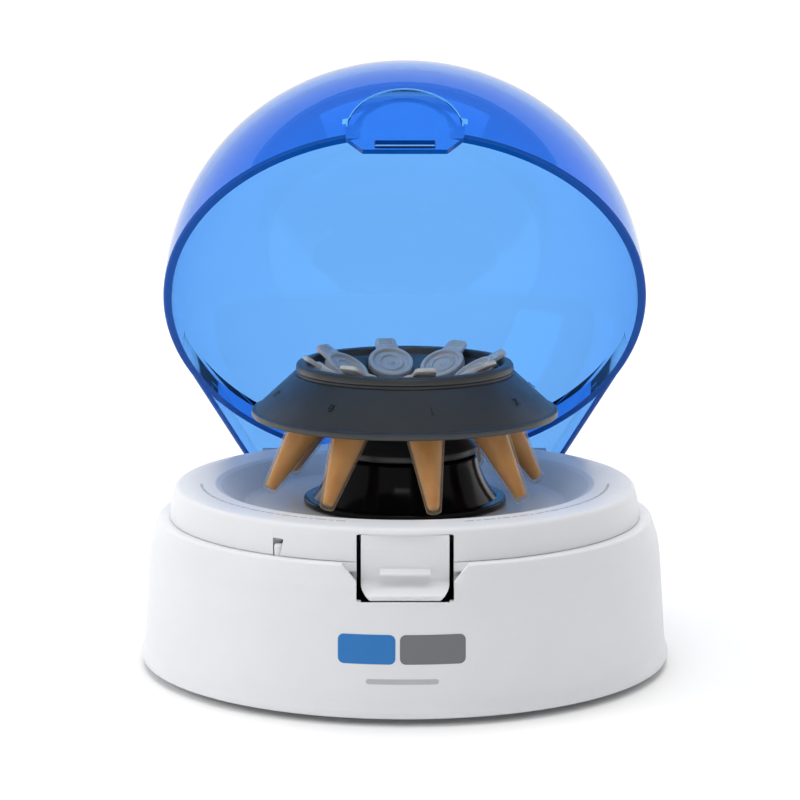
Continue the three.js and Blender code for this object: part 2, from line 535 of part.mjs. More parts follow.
// ---------------------------------------------------------------------------------------------------------------------
// Front latch and lid switch
// ---------------------------------------------------------------------------------------------------------------------
function frontLatch() {
  const lipZ = LATCH_BOTTOM_Z + LATCH_LIP_WALL;
  const kneeZ = RIM_Z - TAB_DROP - SLIP;
  const section = [
    [-LATCH_HEAD_Y, LATCH_TOP_Z], [-LATCH_FACE_Y, RIM_Z + 3], [-LATCH_FACE_Y, kneeZ], [-LATCH_LIP_Y, lipZ],
    [-LATCH_LIP_Y, LATCH_BOTTOM_Z], [-LATCH_FACE_Y - 1, LATCH_BOTTOM_Z + 0.8],
    [-LATCH_FACE_Y + LATCH_WALL, kneeZ - 2], [-LATCH_FACE_Y + LATCH_WALL, RIM_Z + 3],
    [-LATCH_HEAD_Y + LATCH_WALL, LATCH_TOP_Z],
  ];
  const plate = sideways(section, -LATCH_WIDTH / 2, LATCH_WIDTH / 2);
  const catchFoot = RIM_Z - TAB_DROP + TAB_SILL + GAP;
  const ridge = sideways([
    [-LATCH_FACE_Y + 0.5, catchFoot], [-LATCH_FACE_Y - CATCH_DEPTH, catchFoot],
    [-LATCH_FACE_Y - CATCH_DEPTH, catchFoot + 0.5], [-LATCH_FACE_Y - 0.6, catchFoot + CATCH_HEIGHT],
    [-LATCH_FACE_Y + 0.5, catchFoot + CATCH_HEIGHT],
  ], -CATCH_WIDTH / 2, CATCH_WIDTH / 2);
  const corner = 2.6;
  const half = LATCH_WIDTH / 2;
  const rounding = frontwise([
    [-half, LATCH_TOP_Z + 1], [-half, LATCH_BOTTOM_Z + corner], [-half + corner, LATCH_BOTTOM_Z - 0.5],
    [half - corner, LATCH_BOTTOM_Z - 0.5], [half, LATCH_BOTTOM_Z + corner], [half, LATCH_TOP_Z + 1],
  ], -BASE_R, -LATCH_HEAD_Y + 6);
  return common(join(plate, ridge), rounding);
}
piece('front_latch', frontLatch(), WHITE_ABS);

const plungerShape = swing(rodZ(PLUNGER_R, 0, -PLUNGER_RING, PLUNGER_BOTTOM_Z, PLUNGER_TOP_Z), SWITCH_ANGLE);
piece('lid_switch_plunger', plungerShape, WHITE_ABS);

const switchTop = PLUNGER_BOTTOM_Z - PLUNGER_TRAVEL - GAP;
const switchBody = join(
  box(-7, 7, -PLUNGER_RING - 2, -PLUNGER_RING + 5, switchTop - 11, switchTop),
  box(-5.6, -4.4, -PLUNGER_RING, -PLUNGER_RING + 2, switchTop - 14, switchTop - 10),
  box(4.4, 5.6, -PLUNGER_RING, -PLUNGER_RING + 2, switchTop - 14, switchTop - 10));
piece('lid_switch_body', swing(switchBody, SWITCH_ANGLE), BLACK_ABS);

// ---------------------------------------------------------------------------------------------------------------------
// Lid, drawn closed about the hinge and swung open with its group
// ---------------------------------------------------------------------------------------------------------------------
function lidShell() {
  const inset = BASE_R - LID_R;
  const slab = (y) => box(-100, 100, -y, 120, RIM_Z - 20, RIM_Z + LID_HEIGHT + 10);
  const outside = common(dome(0, RIM_Z), slab(FACET_Y));
  const inside = common(dome(LID_WALL, RIM_Z - 0.01), slab(FACET_Y - TAB_WALL));
  const below = ring(0, LID_R - LID_WALL, RIM_Z - 6, RIM_Z + 0.01, FLATS_LARGE);
  const rear = HINGE_Y + ARM_END_R;
  const tongueBlock = common(
    upright(planOutline(inset), RIM_Z, RIM_Z + TONGUE_HEIGHT), box(-80, 80, 20, rear, RIM_Z - 10, RIM_Z + 40));
  const tongueHollow = upright(planOutline(inset + TONGUE_WALL), RIM_Z - 1, RIM_Z + TONGUE_HEIGHT - TONGUE_WALL);
  const behindPin = box(-80, 80, HINGE_Y, rear + 1, RIM_Z - 1, HINGE_Z);
  const ends = [-1, 1].map((side) => {
    const x0 = flankX(LID_R - TONGUE_WALL) - 2.5;
    const x1 = flankX(LID_R) + 2.5;
    const rod = rodX(ARM_END_R, side < 0 ? -x1 : x0, side < 0 ? -x0 : x1, HINGE_Y, HINGE_Z);
    return common(rod, cut(
      upright(planOutline(inset), RIM_Z - 8, RIM_Z + TONGUE_HEIGHT),
      upright(planOutline(inset + TONGUE_WALL), RIM_Z - 9, RIM_Z + TONGUE_HEIGHT + 1)));
  });
  const knuckleRoom = [-1, 1].map((side) => {
    const far = KNUCKLE_OUTER_X + SLIP;
    const near = KNUCKLE_INNER_X - SLIP;
    return rodX(KNUCKLE_R + SLIP, side < 0 ? -far : near, side < 0 ? -near : far, HINGE_Y, HINGE_Z);
  });
  const tongue = cut(join(cut(tongueBlock, tongueHollow, behindPin), ...ends), dome(LID_WALL / 2, RIM_Z - 0.01), ...knuckleRoom);
  const shell = cut(outside, inside, below);
  const tab = frontwise(tabOutline(0), -FACET_Y, -FACET_Y + TAB_WALL);
  const sillZ = RIM_Z - TAB_DROP + TAB_SILL;
  const catchWindow = box(
    -CATCH_WIDTH / 2 - 1.6, CATCH_WIDTH / 2 + 1.6, -BASE_R, -FACET_Y + TAB_WALL + 1, sillZ,
    sillZ + CATCH_HEIGHT + 2 * GAP);
  const pinHole = rodX(HINGE_PIN_R + GAP, -70, 70, HINGE_Y, HINGE_Z);
  return cut(join(shell, tongue, tab), catchWindow, pinHole);
}
lidGroup.position.set(0, HINGE_Y, HINGE_Z);
lidGroup.rotation.x = -LID_OPEN;
piece('lid', lidShell().translate(0, -HINGE_Y, -HINGE_Z), LID_PC, lidGroup);

const pinEnd = flankX(LID_R) - 1;
piece('hinge_pin_left', rodX(HINGE_PIN_R, -pinEnd, -KNUCKLE_INNER_X - 1.6, HINGE_Y, HINGE_Z), STEEL);
piece('hinge_pin_right', rodX(HINGE_PIN_R, KNUCKLE_INNER_X + 1.6, pinEnd, HINGE_Y, HINGE_Z), STEEL);

// ---------------------------------------------------------------------------------------------------------------------
// The tubes' places and the rotor's main sizes
// ---------------------------------------------------------------------------------------------------------------------
// Along a tube's axis, measured from the top of its cap, in the plane of the rotor axis
const along = (s) => [
  TUBE_TIP_R - (TUBE_LENGTH - s) * Math.sin(TUBE_TILT),
  TUBE_TIP_Z + (TUBE_LENGTH - s) * Math.cos(TUBE_TILT),
];
const placeAngle = (i) => FIRST_PLACE + (i * 2 * Math.PI) / PLACES;

// Carries a shape drawn about Z, with z = -s measured down from the cap's top, to one of the rotor's places
function toPlace(geometry, i) {
  const [r, z] = along(0);
  return geometry.rotateX(-TUBE_TILT).translate(0, -r, z).rotateZ(placeAngle(i));
}

// The cone that the seats lie on, and what stands on it
const [seatR, seatZ] = along(SEAT_S - SPOT_DEPTH);
const seat = (r) => seatZ + (r - seatR) * Math.tan(TUBE_TILT);
const BOWL_R = seatR + CAP_R * Math.cos(TUBE_TILT) + 0.63;
const BEAD_R = BOWL_R + BEAD_WALL;
const BEAD_TOP_Z = seat(BOWL_R) + BOWL_DEPTH;
const BEAD_FOOT_Z = BEAD_TOP_Z - BEAD_HEIGHT;
const ROTOR_R = BEAD_R + SKIRT_REACH;
const ROTOR_RIM_Z = BEAD_FOOT_Z - SKIRT_DROP;
const ROTOR_BOTTOM_Z = SHROUD_TOP_Z + ROTOR_CLEARANCE;
const BOSS_TOP_Z = seat(HUB_WAIST_R) + 1.8;
const nutZ = BOSS_TOP_Z + GAP;
const shaftEndZ = nutZ + NUT_HEIGHT - NUT_ROOF - GAP;

// ---------------------------------------------------------------------------------------------------------------------
// Motor, its pedestal and mounting
// ---------------------------------------------------------------------------------------------------------------------
const flangeZ = FLOOR_Z + GAP;
const shroudRise = SHROUD_TOP_Z - flangeZ;
const shroudFlare = (t) => SHROUD_TOP_R + (SHROUD_R - 2.4 - SHROUD_TOP_R) * (1 - t) ** 2.2 + 1.6 * (1 - t);
const flareSteps = [0.16, 0.34, 0.6, 0.85];
piece('motor_shroud', turned([
  [SHROUD_R - 0.6, flangeZ], [SHROUD_R, flangeZ + 0.5], [SHROUD_R, flangeZ + SHROUD_FLANGE - 0.5],
  [SHROUD_R - 0.5, flangeZ + SHROUD_FLANGE],
  ...flareSteps.map((t) => [shroudFlare(t), flangeZ + t * shroudRise]),
  [SHROUD_TOP_R, SHROUD_TOP_Z - 0.6], [SHROUD_TOP_R - 0.5, SHROUD_TOP_Z],
  [BUSH_R + 2, SHROUD_TOP_Z], [BUSH_R + 2, SHROUD_TOP_Z - SHROUD_WALL],
  [SHROUD_TOP_R - SHROUD_WALL, SHROUD_TOP_Z - SHROUD_WALL],
  ...flareSteps.slice().reverse().slice(1).map((t) => [shroudFlare(t) - SHROUD_WALL, flangeZ + t * shroudRise]),
  [SHROUD_R - SHROUD_WALL - 2, flangeZ], [SHROUD_R - 0.6, flangeZ],
]), PEDESTAL_GLOSS);

piece('motor_can', turned([
  [MOTOR_R - MOTOR_WALL, MOTOR_BOTTOM_Z], [MOTOR_R, MOTOR_BOTTOM_Z], [MOTOR_R, MOTOR_TOP_Z - 1],
  [MOTOR_R - 1, MOTOR_TOP_Z], [SHAFT_R + 1.5, MOTOR_TOP_Z], [SHAFT_R + 1.5, MOTOR_TOP_Z - MOTOR_WALL],
  [MOTOR_R - MOTOR_WALL, MOTOR_TOP_Z - MOTOR_WALL], [MOTOR_R - MOTOR_WALL, MOTOR_BOTTOM_Z],
]), STEEL);

const endCapR = MOTOR_R - MOTOR_WALL - GAP;
const lowerBearingZ = MOTOR_BOTTOM_Z + 2;
piece('motor_end_cap', turned([
  [0, MOTOR_BOTTOM_Z - 0.6], [endCapR, MOTOR_BOTTOM_Z - 0.6], [endCapR, MOTOR_BOTTOM_Z + 2.4],
  [BEARING_R + GAP + 1.6, MOTOR_BOTTOM_Z + 2.4], [BEARING_R + GAP + 1.6, lowerBearingZ + BEARING_HEIGHT],
  [BEARING_R + GAP, lowerBearingZ + BEARING_HEIGHT], [BEARING_R + GAP, lowerBearingZ - GAP],
  [0, lowerBearingZ - GAP],
], FLATS_SMALL), BLACK_ABS);

const upperBearingZ = MOTOR_TOP_Z - MOTOR_WALL - GAP - BEARING_HEIGHT;
const bearing = (z) => ring(SHAFT_R + GAP, BEARING_R, z, z + BEARING_HEIGHT, FLATS_FINE);
piece('motor_bearing_upper', bearing(upperBearingZ), BRASS);
piece('motor_bearing_lower', bearing(lowerBearingZ), BRASS);

const armatureBottom = lowerBearingZ + BEARING_HEIGHT + 1.4;
const armatureTop = upperBearingZ - 1.6;
piece('motor_armature', turned([
  [SHAFT_R + GAP, armatureBottom], [7, armatureBottom], [7, armatureBottom + 7], [ARMATURE_R, armatureBottom + 9],
  [ARMATURE_R, armatureTop - 3], [ARMATURE_R - 3, armatureTop], [SHAFT_R + GAP, armatureTop],
  [SHAFT_R + GAP, armatureBottom],
], FLATS_FINE), COPPER);

piece('drive_shaft', turned([
  [0, lowerBearingZ + GAP], [SHAFT_R, lowerBearingZ + GAP], [SHAFT_R, shaftEndZ - 0.6], [SHAFT_R - 0.6, shaftEndZ],
  [0, shaftEndZ],
], FLATS_FINE), STEEL);

const bracketTop = COVER_UNDER_Z - GAP;
const damperZ = bracketTop - BRACKET_DEPTH;
piece('motor_damper', ring(MOTOR_R + GAP, BRACKET_R - GAP, damperZ, damperZ + DAMPER_HEIGHT), RUBBER);

const bracketBody = turned([
  [MOTOR_R + GAP, damperZ - GAP - BRACKET_WALL], [BRACKET_R + BRACKET_WALL, damperZ - GAP - BRACKET_WALL],
  [BRACKET_R + BRACKET_WALL, bracketTop - 2], [BRACKET_FLANGE_R, bracketTop - 2], [BRACKET_FLANGE_R, bracketTop],
  [BRACKET_R, bracketTop], [BRACKET_R, damperZ - GAP], [MOTOR_R + GAP, damperZ - GAP],
  [MOTOR_R + GAP, damperZ - GAP - BRACKET_WALL],
]);
const bracketHoles = BRACKET_SCREWS.map(([x, y]) => rodZ(SCREW_R + GAP, x, y, bracketTop - 4, bracketTop + 1));
piece('motor_bracket', cut(bracketBody, ...bracketHoles), GREY_ABS);
BRACKET_SCREWS.forEach(([x, y], i) => {
  const headZ = bracketTop - 2 - GAP - 0.9;
  piece(`bracket_screw_${i + 1}`, screw(headZ, FLOOR_Z - 1.1 - headZ).translate(x, y, 0), STEEL);
});

// ---------------------------------------------------------------------------------------------------------------------
// Rotor, bush and lock nut
// ---------------------------------------------------------------------------------------------------------------------
function rotorBody() {
  const skirtSlope = (BEAD_FOOT_Z - 0.4 - ROTOR_RIM_Z) / (BEAD_R + 0.6 - (ROTOR_R - 0.5));
  const under = (r) => ROTOR_RIM_Z + (r - (ROTOR_R - 0.5)) * skirtSlope - ROTOR_WALL;
  const rimFoot = ROTOR_RIM_Z - ROTOR_RIM_HEIGHT;
  const body = turned([
    [BUSH_R + GAP, ROTOR_BOTTOM_Z], [HUB_R - 0.5, ROTOR_BOTTOM_Z], [HUB_R, ROTOR_BOTTOM_Z + 0.6],
    [HUB_R - 0.3, ROTOR_BOTTOM_Z + 1.8], [HUB_R - 2.2, ROTOR_BOTTOM_Z + 4], [HUB_WAIST_R + 1.8, ROTOR_BOTTOM_Z + 7],
    [HUB_WAIST_R, ROTOR_BOTTOM_Z + 11], [HUB_WAIST_R, seat(HUB_WAIST_R) - SEAT_WALL],
    [BOWL_R, seat(BOWL_R) - SEAT_WALL], [BEAD_R - 0.6, under(BEAD_R - 0.6)],
    [ROTOR_R - 1.8, Math.max(under(ROTOR_R - 1.8), rimFoot + 0.1)], [ROTOR_R - 1.2, rimFoot],
    [ROTOR_R - 0.4, rimFoot], [ROTOR_R, rimFoot + 0.5],
    [ROTOR_R, ROTOR_RIM_Z - 0.5], [ROTOR_R - 0.5, ROTOR_RIM_Z], [BEAD_R + 0.6, BEAD_FOOT_Z - 0.4],
    [BEAD_R - 0.1, BEAD_FOOT_Z], [BEAD_R + 0.1, BEAD_FOOT_Z + 1], [BEAD_R - 0.2, BEAD_TOP_Z - 0.9],
    [BEAD_R - 1.1, BEAD_TOP_Z - 0.1], [BOWL_R + 1.4, BEAD_TOP_Z], [BOWL_R + 0.4, BEAD_TOP_Z - 0.5],
    [BOWL_R, BEAD_TOP_Z - 1.3], [BOWL_R, seat(BOWL_R)], [HUB_WAIST_R, seat(HUB_WAIST_R)],
    [BOSS_R + 1.2, seat(HUB_WAIST_R) - 0.6], [BOSS_R, BOSS_TOP_Z - 0.6], [BOSS_R - 0.6, BOSS_TOP_Z],
    [BUSH_R + GAP, BOSS_TOP_Z], [BUSH_R + GAP, ROTOR_BOTTOM_Z],
  ]);
  const cutters = [];
  for (let i = 0; i < PLACES; i += 1) {
    cutters.push(toPlace(ring(0, TUBE_R + GAP, -SEAT_S - 9, -SEAT_S + 4, FLATS_FINE), i));
    cutters.push(toPlace(ring(0, TUBE_FLANGE_R + SLIP, -SEAT_S, -SEAT_S + 4, FLATS_FINE), i));
  }
  return cut(body, ...cutters);
}
piece('rotor', rotorBody(), ROTOR_PP);
piece('rotor_bush', ring(SHAFT_R + GAP, BUSH_R, ROTOR_BOTTOM_Z + 0.6, BOSS_TOP_Z - 0.2, FLATS_SMALL), BRASS);

const nutBody = turned([
  [0, nutZ], [NUT_R, nutZ], [NUT_R, nutZ + NUT_HEIGHT - 0.8], [NUT_R - 0.8, nutZ + NUT_HEIGHT], [0, nutZ + NUT_HEIGHT],
], FLATS_SMALL);
const nutFlutes = [];
for (let i = 0; i < 8; i += 1) {
  const angle = (i * Math.PI) / 4;
  nutFlutes.push(rodZ(1.1, (NUT_R + 0.5) * Math.cos(angle), (NUT_R + 0.5) * Math.sin(angle), nutZ - 1,
    nutZ + NUT_HEIGHT + 1, 8));
}
piece('rotor_lock_nut', cut(nutBody, rodZ(SHAFT_R + GAP, 0, 0, nutZ - 1, shaftEndZ + GAP), ...nutFlutes), BLACK_ABS);

// ---------------------------------------------------------------------------------------------------------------------
// Sample tubes, their caps and what is in them
// ---------------------------------------------------------------------------------------------------------------------
const TAPER_END = TUBE_LENGTH - 1.6;
const tubeInner = TUBE_R - TUBE_WALL;
const tubeEndInner = TUBE_END_R - TUBE_WALL;
function tubeShape() {
  const flangeFoot = TUBE_FLANGE_TOP + TUBE_FLANGE_HEIGHT;
  return turned([
    [0, -TUBE_LENGTH], [TUBE_END_R * 0.62, -TUBE_LENGTH + 0.4], [TUBE_END_R, -TAPER_END], [TUBE_R, -TUBE_STRAIGHT],
    [TUBE_R, -flangeFoot], [TUBE_FLANGE_R, -flangeFoot], [TUBE_FLANGE_R, -TUBE_FLANGE_TOP],
    [tubeInner, -TUBE_FLANGE_TOP], [tubeInner, -TUBE_STRAIGHT], [tubeEndInner, -TAPER_END],
    [0, -TUBE_LENGTH + 1.1],
  ], FLATS_FINE);
}

function capShape() {
  const foot = TUBE_FLANGE_TOP - GAP;
  const disc = turned([
    [0, -foot - CAP_PLUG_LENGTH], [tubeInner - GAP, -foot - CAP_PLUG_LENGTH], [tubeInner - GAP, -foot],
    [CAP_R, -foot], [CAP_R, -0.3], [CAP_R - 0.4, 0], [CAP_R - 1.3, 0], [CAP_R - 1.6, -0.8], [0, -0.8],
  ], FLATS_FINE);
  const tab = upright([
    [-3.4, -CAP_R + 1], [-2.6, -CAP_TAB_REACH], [2.6, -CAP_TAB_REACH], [3.4, -CAP_R + 1],
  ], -1.5, -0.5);
  const strap = box(-1.8, 1.8, CAP_R - 0.6, CAP_R + 0.9, -3.1, -1);
  const strapRoom = ring(0, TUBE_FLANGE_R + GAP, -4, -foot, FLATS_FINE);
  return join(disc, tab, cut(strap, strapRoom));
}

function sampleShape() {
  const slope = (tubeInner - tubeEndInner) / (TAPER_END - TUBE_STRAIGHT);
  const bottom = TAPER_END - 1;
  return turned([
    [0, -bottom - 0.6], [tubeEndInner + slope * 1 - GAP, -bottom], [tubeInner - GAP, -TUBE_STRAIGHT],
    [tubeInner - GAP, -SAMPLE_TOP], [0, -SAMPLE_TOP],
  ], FLATS_FINE);
}

for (let i = 0; i < PLACES; i += 1) {
  piece(`tube_${i + 1}`, toPlace(tubeShape(), i), TUBE_PP);
  piece(`tube_cap_${i + 1}`, toPlace(capShape(), i), CAP_PP);
  piece(`sample_${i + 1}`, toPlace(sampleShape(), i), SAMPLE_AMBER);
}

// ---------------------------------------------------------------------------------------------------------------------
// Electrical parts
// ---------------------------------------------------------------------------------------------------------------------
const board = join(
  box(-BOARD_WIDTH / 2, BOARD_WIDTH / 2, BOARD_Y - 8, BOARD_Y - 8 + BOARD_DEPTH, BOARD_Z, BOARD_Z + BOARD_WALL),
  rodZ(4, -12, BOARD_Y + 12, BOARD_Z + 1, BOARD_Z + 13),
  box(2, 12, BOARD_Y + 6, BOARD_Y + 14, BOARD_Z + 1, BOARD_Z + 8),
  box(16, 24, BOARD_Y + 4, BOARD_Y + 16, BOARD_Z + 1, BOARD_Z + 6));
piece('circuit_board', board, BOARD_GREEN);

const REAR_LEAN = 2; // how far the rear wall leans in at the height of the jack and the switch
const rearFace = BASE_REAR - REAR_LEAN;
const jackBody = join(
  rodY(JACK_R + 1.4, rearFace + GAP + 0.6, rearFace + GAP + 2, JACK_X, JACK_Z),
  rodY(JACK_R, rearFace - 12, rearFace + GAP + 1, JACK_X, JACK_Z));
const jackSocket = rodY(JACK_SOCKET_R, rearFace - 9, rearFace + 4, JACK_X, JACK_Z);
const jackPin = rodY(1, rearFace - 10, rearFace + 0.5, JACK_X, JACK_Z, FLATS_FINE);
piece('dc_jack', join(cut(jackBody, jackSocket), jackPin), BLACK_ABS);

const frameX = SWITCH_WIDTH / 2;
const frameZ = SWITCH_HEIGHT / 2;
const well = SLIP + 0.9;
const switchFrame = cut(
  join(
    box(SWITCH_X - frameX, SWITCH_X + frameX, rearFace + GAP + 0.6, rearFace + GAP + 2, SWITCH_Z - frameZ,
      SWITCH_Z + frameZ),
    box(SWITCH_X - frameX + 1.4, SWITCH_X + frameX - 1.4, rearFace - 13, rearFace + GAP + 1,
      SWITCH_Z - frameZ + 1.4, SWITCH_Z + frameZ - 1.4)),
  box(SWITCH_X - frameX + 2.6, SWITCH_X + frameX - 2.6, rearFace - 7, rearFace + 4,
    SWITCH_Z - frameZ + 2.6, SWITCH_Z + frameZ - 2.6));
piece('power_switch_frame', switchFrame, BLACK_ABS);

const rockerHalf = frameZ - 2.6 - well;
const rockerGroup = new THREE.Group();
rockerGroup.position.set(SWITCH_X, rearFace - 1, SWITCH_Z);
rockerGroup.rotation.x = ROCKER_TILT;
centrifuge.add(rockerGroup);
const rocker = sideways([
  [-3, -rockerHalf + 2.4], [1.6, -rockerHalf], [3.6, -rockerHalf], [2.8, 0], [3.6, rockerHalf], [1.6, rockerHalf],
  [-3, rockerHalf - 2.4],
], -frameX + 2.6 + SLIP, frameX - 2.6 - SLIP);
piece('power_rocker', rocker, BLACK_ABS, rockerGroup);

// ---------------------------------------------------------------------------------------------------------------------
// Origin at the bottom centre of the whole object as it stands open
// ---------------------------------------------------------------------------------------------------------------------
centrifuge.updateMatrixWorld(true);
const bounds = new THREE.Box3().setFromObject(centrifuge, true);
const middle = bounds.getCenter(new THREE.Vector3());
centrifuge.position.set(-middle.x, -middle.y, -bounds.min.z);
centrifuge.updateMatrixWorld(true);

export default centrifuge;
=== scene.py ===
"""Looks of a mini laboratory centrifuge: white two-part base, see-through blue lid, eight-place rotor and tubes.

Shapes are worked out in millimetres around the rotor axis, with the table at height zero and the front towards -Y,
and go into the frame in metres through Site.
"""

from __future__ import annotations

import json
import logging
import math
from dataclasses import dataclass, field
from enum import Enum
from typing import Iterable, Protocol, Sequence

import bmesh
import bpy
import numpy as np
from mathutils import Matrix, Vector

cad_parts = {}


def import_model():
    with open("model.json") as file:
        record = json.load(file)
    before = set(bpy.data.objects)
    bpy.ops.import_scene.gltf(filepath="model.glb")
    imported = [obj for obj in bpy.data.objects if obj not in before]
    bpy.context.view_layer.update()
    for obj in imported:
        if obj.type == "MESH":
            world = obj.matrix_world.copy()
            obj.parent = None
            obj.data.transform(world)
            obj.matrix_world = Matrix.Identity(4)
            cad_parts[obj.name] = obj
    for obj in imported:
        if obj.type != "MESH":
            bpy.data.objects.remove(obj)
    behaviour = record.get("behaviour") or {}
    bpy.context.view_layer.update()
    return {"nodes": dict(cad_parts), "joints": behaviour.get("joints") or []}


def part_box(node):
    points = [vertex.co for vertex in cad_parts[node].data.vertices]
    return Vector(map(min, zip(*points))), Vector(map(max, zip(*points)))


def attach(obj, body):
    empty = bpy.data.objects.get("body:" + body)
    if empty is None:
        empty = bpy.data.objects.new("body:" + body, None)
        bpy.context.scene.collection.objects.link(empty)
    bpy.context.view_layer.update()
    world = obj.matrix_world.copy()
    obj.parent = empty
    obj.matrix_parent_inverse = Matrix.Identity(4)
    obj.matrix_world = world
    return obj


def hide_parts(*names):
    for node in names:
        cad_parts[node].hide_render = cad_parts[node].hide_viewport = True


LOG = logging.getLogger("centrifuge")
MM = 0.001

Colour = tuple[float, float, float]
Corner = tuple[float, float, float]


class Side(Enum):
    """The two sides of the object, as signs along X."""

    LEFT = -1
    RIGHT = 1


class Carve(Enum):
    """How one body acts on another."""

    CUT = "DIFFERENCE"
    JOIN = "UNION"
    KEEP = "INTERSECT"


# ----------------------------------------------------------------------------------------------------------------------
# Places
# ----------------------------------------------------------------------------------------------------------------------
@dataclass(frozen=True)
class Site:
    """Where the rotor axis stands in the frame, and how far the lid stands open.

    Attributes:
        axis: Foot of the rotor axis, in metres.
        hinge: A point of the lid's hinge axis, in metres.
        lid_open: Angle from closed to open, in radians.
    """

    axis: Vector
    hinge: Vector
    lid_open: float

    @classmethod
    def from_frame(cls, joints: Sequence[dict]) -> "Site":
        """Reads the axis and the hinge from the frame's joints.

        Args:
            joints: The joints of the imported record.

        Returns:
            The site.
        """
        by_name = {joint["name"]: joint for joint in joints}
        axis = Vector(by_name["rotor_spin"]["pos_m"])
        axis.z = 0.0
        lid = by_name["lid_hinge"]
        return cls(axis, Vector(lid["pos_m"]), math.radians(lid["range_deg"][1]))

    def metres(self, points: np.ndarray) -> np.ndarray:
        """Millimetres around the rotor axis to metres in the frame."""
        return points * MM + np.array(self.axis)

    def opened(self, points: np.ndarray) -> np.ndarray:
        """Turns metres of the closed lid to the open lid, about the hinge axis."""
        cos, sin = math.cos(self.lid_open), math.sin(self.lid_open)
        turn = np.array([[1, 0, 0], [0, cos, sin], [0, -sin, cos]])
        centre = np.array(self.hinge)
        return (points - centre) @ turn.T + centre


@dataclass(frozen=True)
class Extent:
    """A CAD node's box in millimetres around the rotor axis."""

    low: Vector
    high: Vector

    @classmethod
    def of(cls, node: str, site: Site) -> "Extent":
        """The box of one CAD node."""
        low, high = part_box(node)
        return cls((low - site.axis) / MM, (high - site.axis) / MM)

    @property
    def centre(self) -> Vector:
        """The middle of the box."""
        return (self.low + self.high) / 2

    @property
    def size(self) -> Vector:
        """The sides of the box."""
        return self.high - self.low


# ----------------------------------------------------------------------------------------------------------------------
# Surfaces
# ----------------------------------------------------------------------------------------------------------------------
@dataclass
class Surface:
    """Points in millimetres and the faces between them."""

    points: np.ndarray
    faces: list[tuple[int, ...]]

    def moved(self, x: float = 0.0, y: float = 0.0, z: float = 0.0) -> "Surface":
        """The surface shifted by an offset."""
        return Surface(self.points + np.array([x, y, z]), self.faces)

    def turned(self, matrix: Matrix) -> "Surface":
        """The surface carried by a 4 x 4 matrix."""
        m = np.array(matrix)
        return Surface(self.points @ m[:3, :3].T + m[:3, 3], self.faces)

    def plus(self, *others: "Surface") -> "Surface":
        """This surface and others as one, side by side.

        Args:
            *others: Surfaces to add.

        Returns:
            One surface with all the points and faces.
        """
        points, faces = [self.points], list(self.faces)
        start = len(self.points)
        for other in others:
            points.append(other.points)
            faces.extend(tuple(i + start for i in face) for face in other.faces)
            start += len(other.points)
        return Surface(np.concatenate(points), faces)


def filleted(corners: Sequence[Corner], closed: bool = False, steps: int = 5) -> np.ndarray:
    """Rounds the corners of an outline with arcs.

    At a corner with radius r and half turning angle a, the arc starts r * tan(a) before the corner, or at half of the
    shorter side where that is less, and its points lie at even angles around its centre.

    Args:
        corners: Points as (first, second, fillet radius).
        closed: True where the last point joins the first.
        steps: Segments in each arc.

    Returns:
        An (n, 2) array of points.
    """
    flat = [np.array(corner[:2], float) for corner in corners]
    count = len(flat)
    rows: list[np.ndarray] = []
    for i, (point, corner) in enumerate(zip(flat, corners)):
        ends = i in (0, count - 1) and not closed
        before, after = flat[i - 1] - point, flat[(i + 1) % count] - point
        lengths = np.linalg.norm(before), np.linalg.norm(after)
        if ends or corner[2] <= 0 or min(lengths) < 1e-9:
            rows.append(point[None])
            continue
        u, v = before / lengths[0], after / lengths[1]
        half = (math.pi - math.acos(float(np.clip(u @ v, -1, 1)))) / 2
        if half < 1e-3:
            rows.append(point[None])
            continue
        reach = min(corner[2] * math.tan(half), 0.49 * min(lengths))
        radius = reach / math.tan(half)
        middle = point + (u + v) / np.linalg.norm(u + v) * math.hypot(reach, radius)
        start, end = point + u * reach - middle, point + v * reach - middle
        first = math.atan2(start[1], start[0])
        sweep = (math.atan2(end[1], end[0]) - first + math.pi) % (2 * math.pi) - math.pi
        angles = first + sweep * np.linspace(0, 1, steps + 1)
        rows.append(middle + radius * np.stack([np.cos(angles), np.sin(angles)], 1))
    return np.concatenate(rows)


def grid_faces(rows: int, columns: int, wrap_rows: bool, wrap_columns: bool) -> list[tuple[int, ...]]:
    """Quads of a grid whose point (i, j) has the index i * columns + j.

    Args:
        rows: Points in the first direction.
        columns: Points in the second direction.
        wrap_rows: True where the last row joins the first.
        wrap_columns: True where the last column joins the first.

    Returns:
        The quads.
    """
    i = np.arange(rows if wrap_rows else rows - 1)[:, None]
    j = np.arange(columns if wrap_columns else columns - 1)[None, :]
    i1, j1 = (i + 1) % rows, (j + 1) % columns
    quads = np.stack(np.broadcast_arrays(i * columns + j, i * columns + j1, i1 * columns + j1, i1 * columns + j), -1)
    return [tuple(quad) for quad in quads.reshape(-1, 4).tolist()]


def outward(surface: Surface) -> Surface:
    """Turns the faces of a closed surface outwards, by the sign of the volume under its fan triangles."""
    volume = 0.0
    by_size: dict[int, list[tuple[int, ...]]] = {}
    for face in surface.faces:
        by_size.setdefault(len(face), []).append(face)
    for size, faces in by_size.items():
        p = surface.points[np.array(faces)]
        for k in range(1, size - 1):
            volume += float(np.einsum("ij,ij->", p[:, 0], np.cross(p[:, k], p[:, k + 1])))
    if volume < 0:
        return Surface(surface.points, [face[::-1] for face in surface.faces])
    return surface


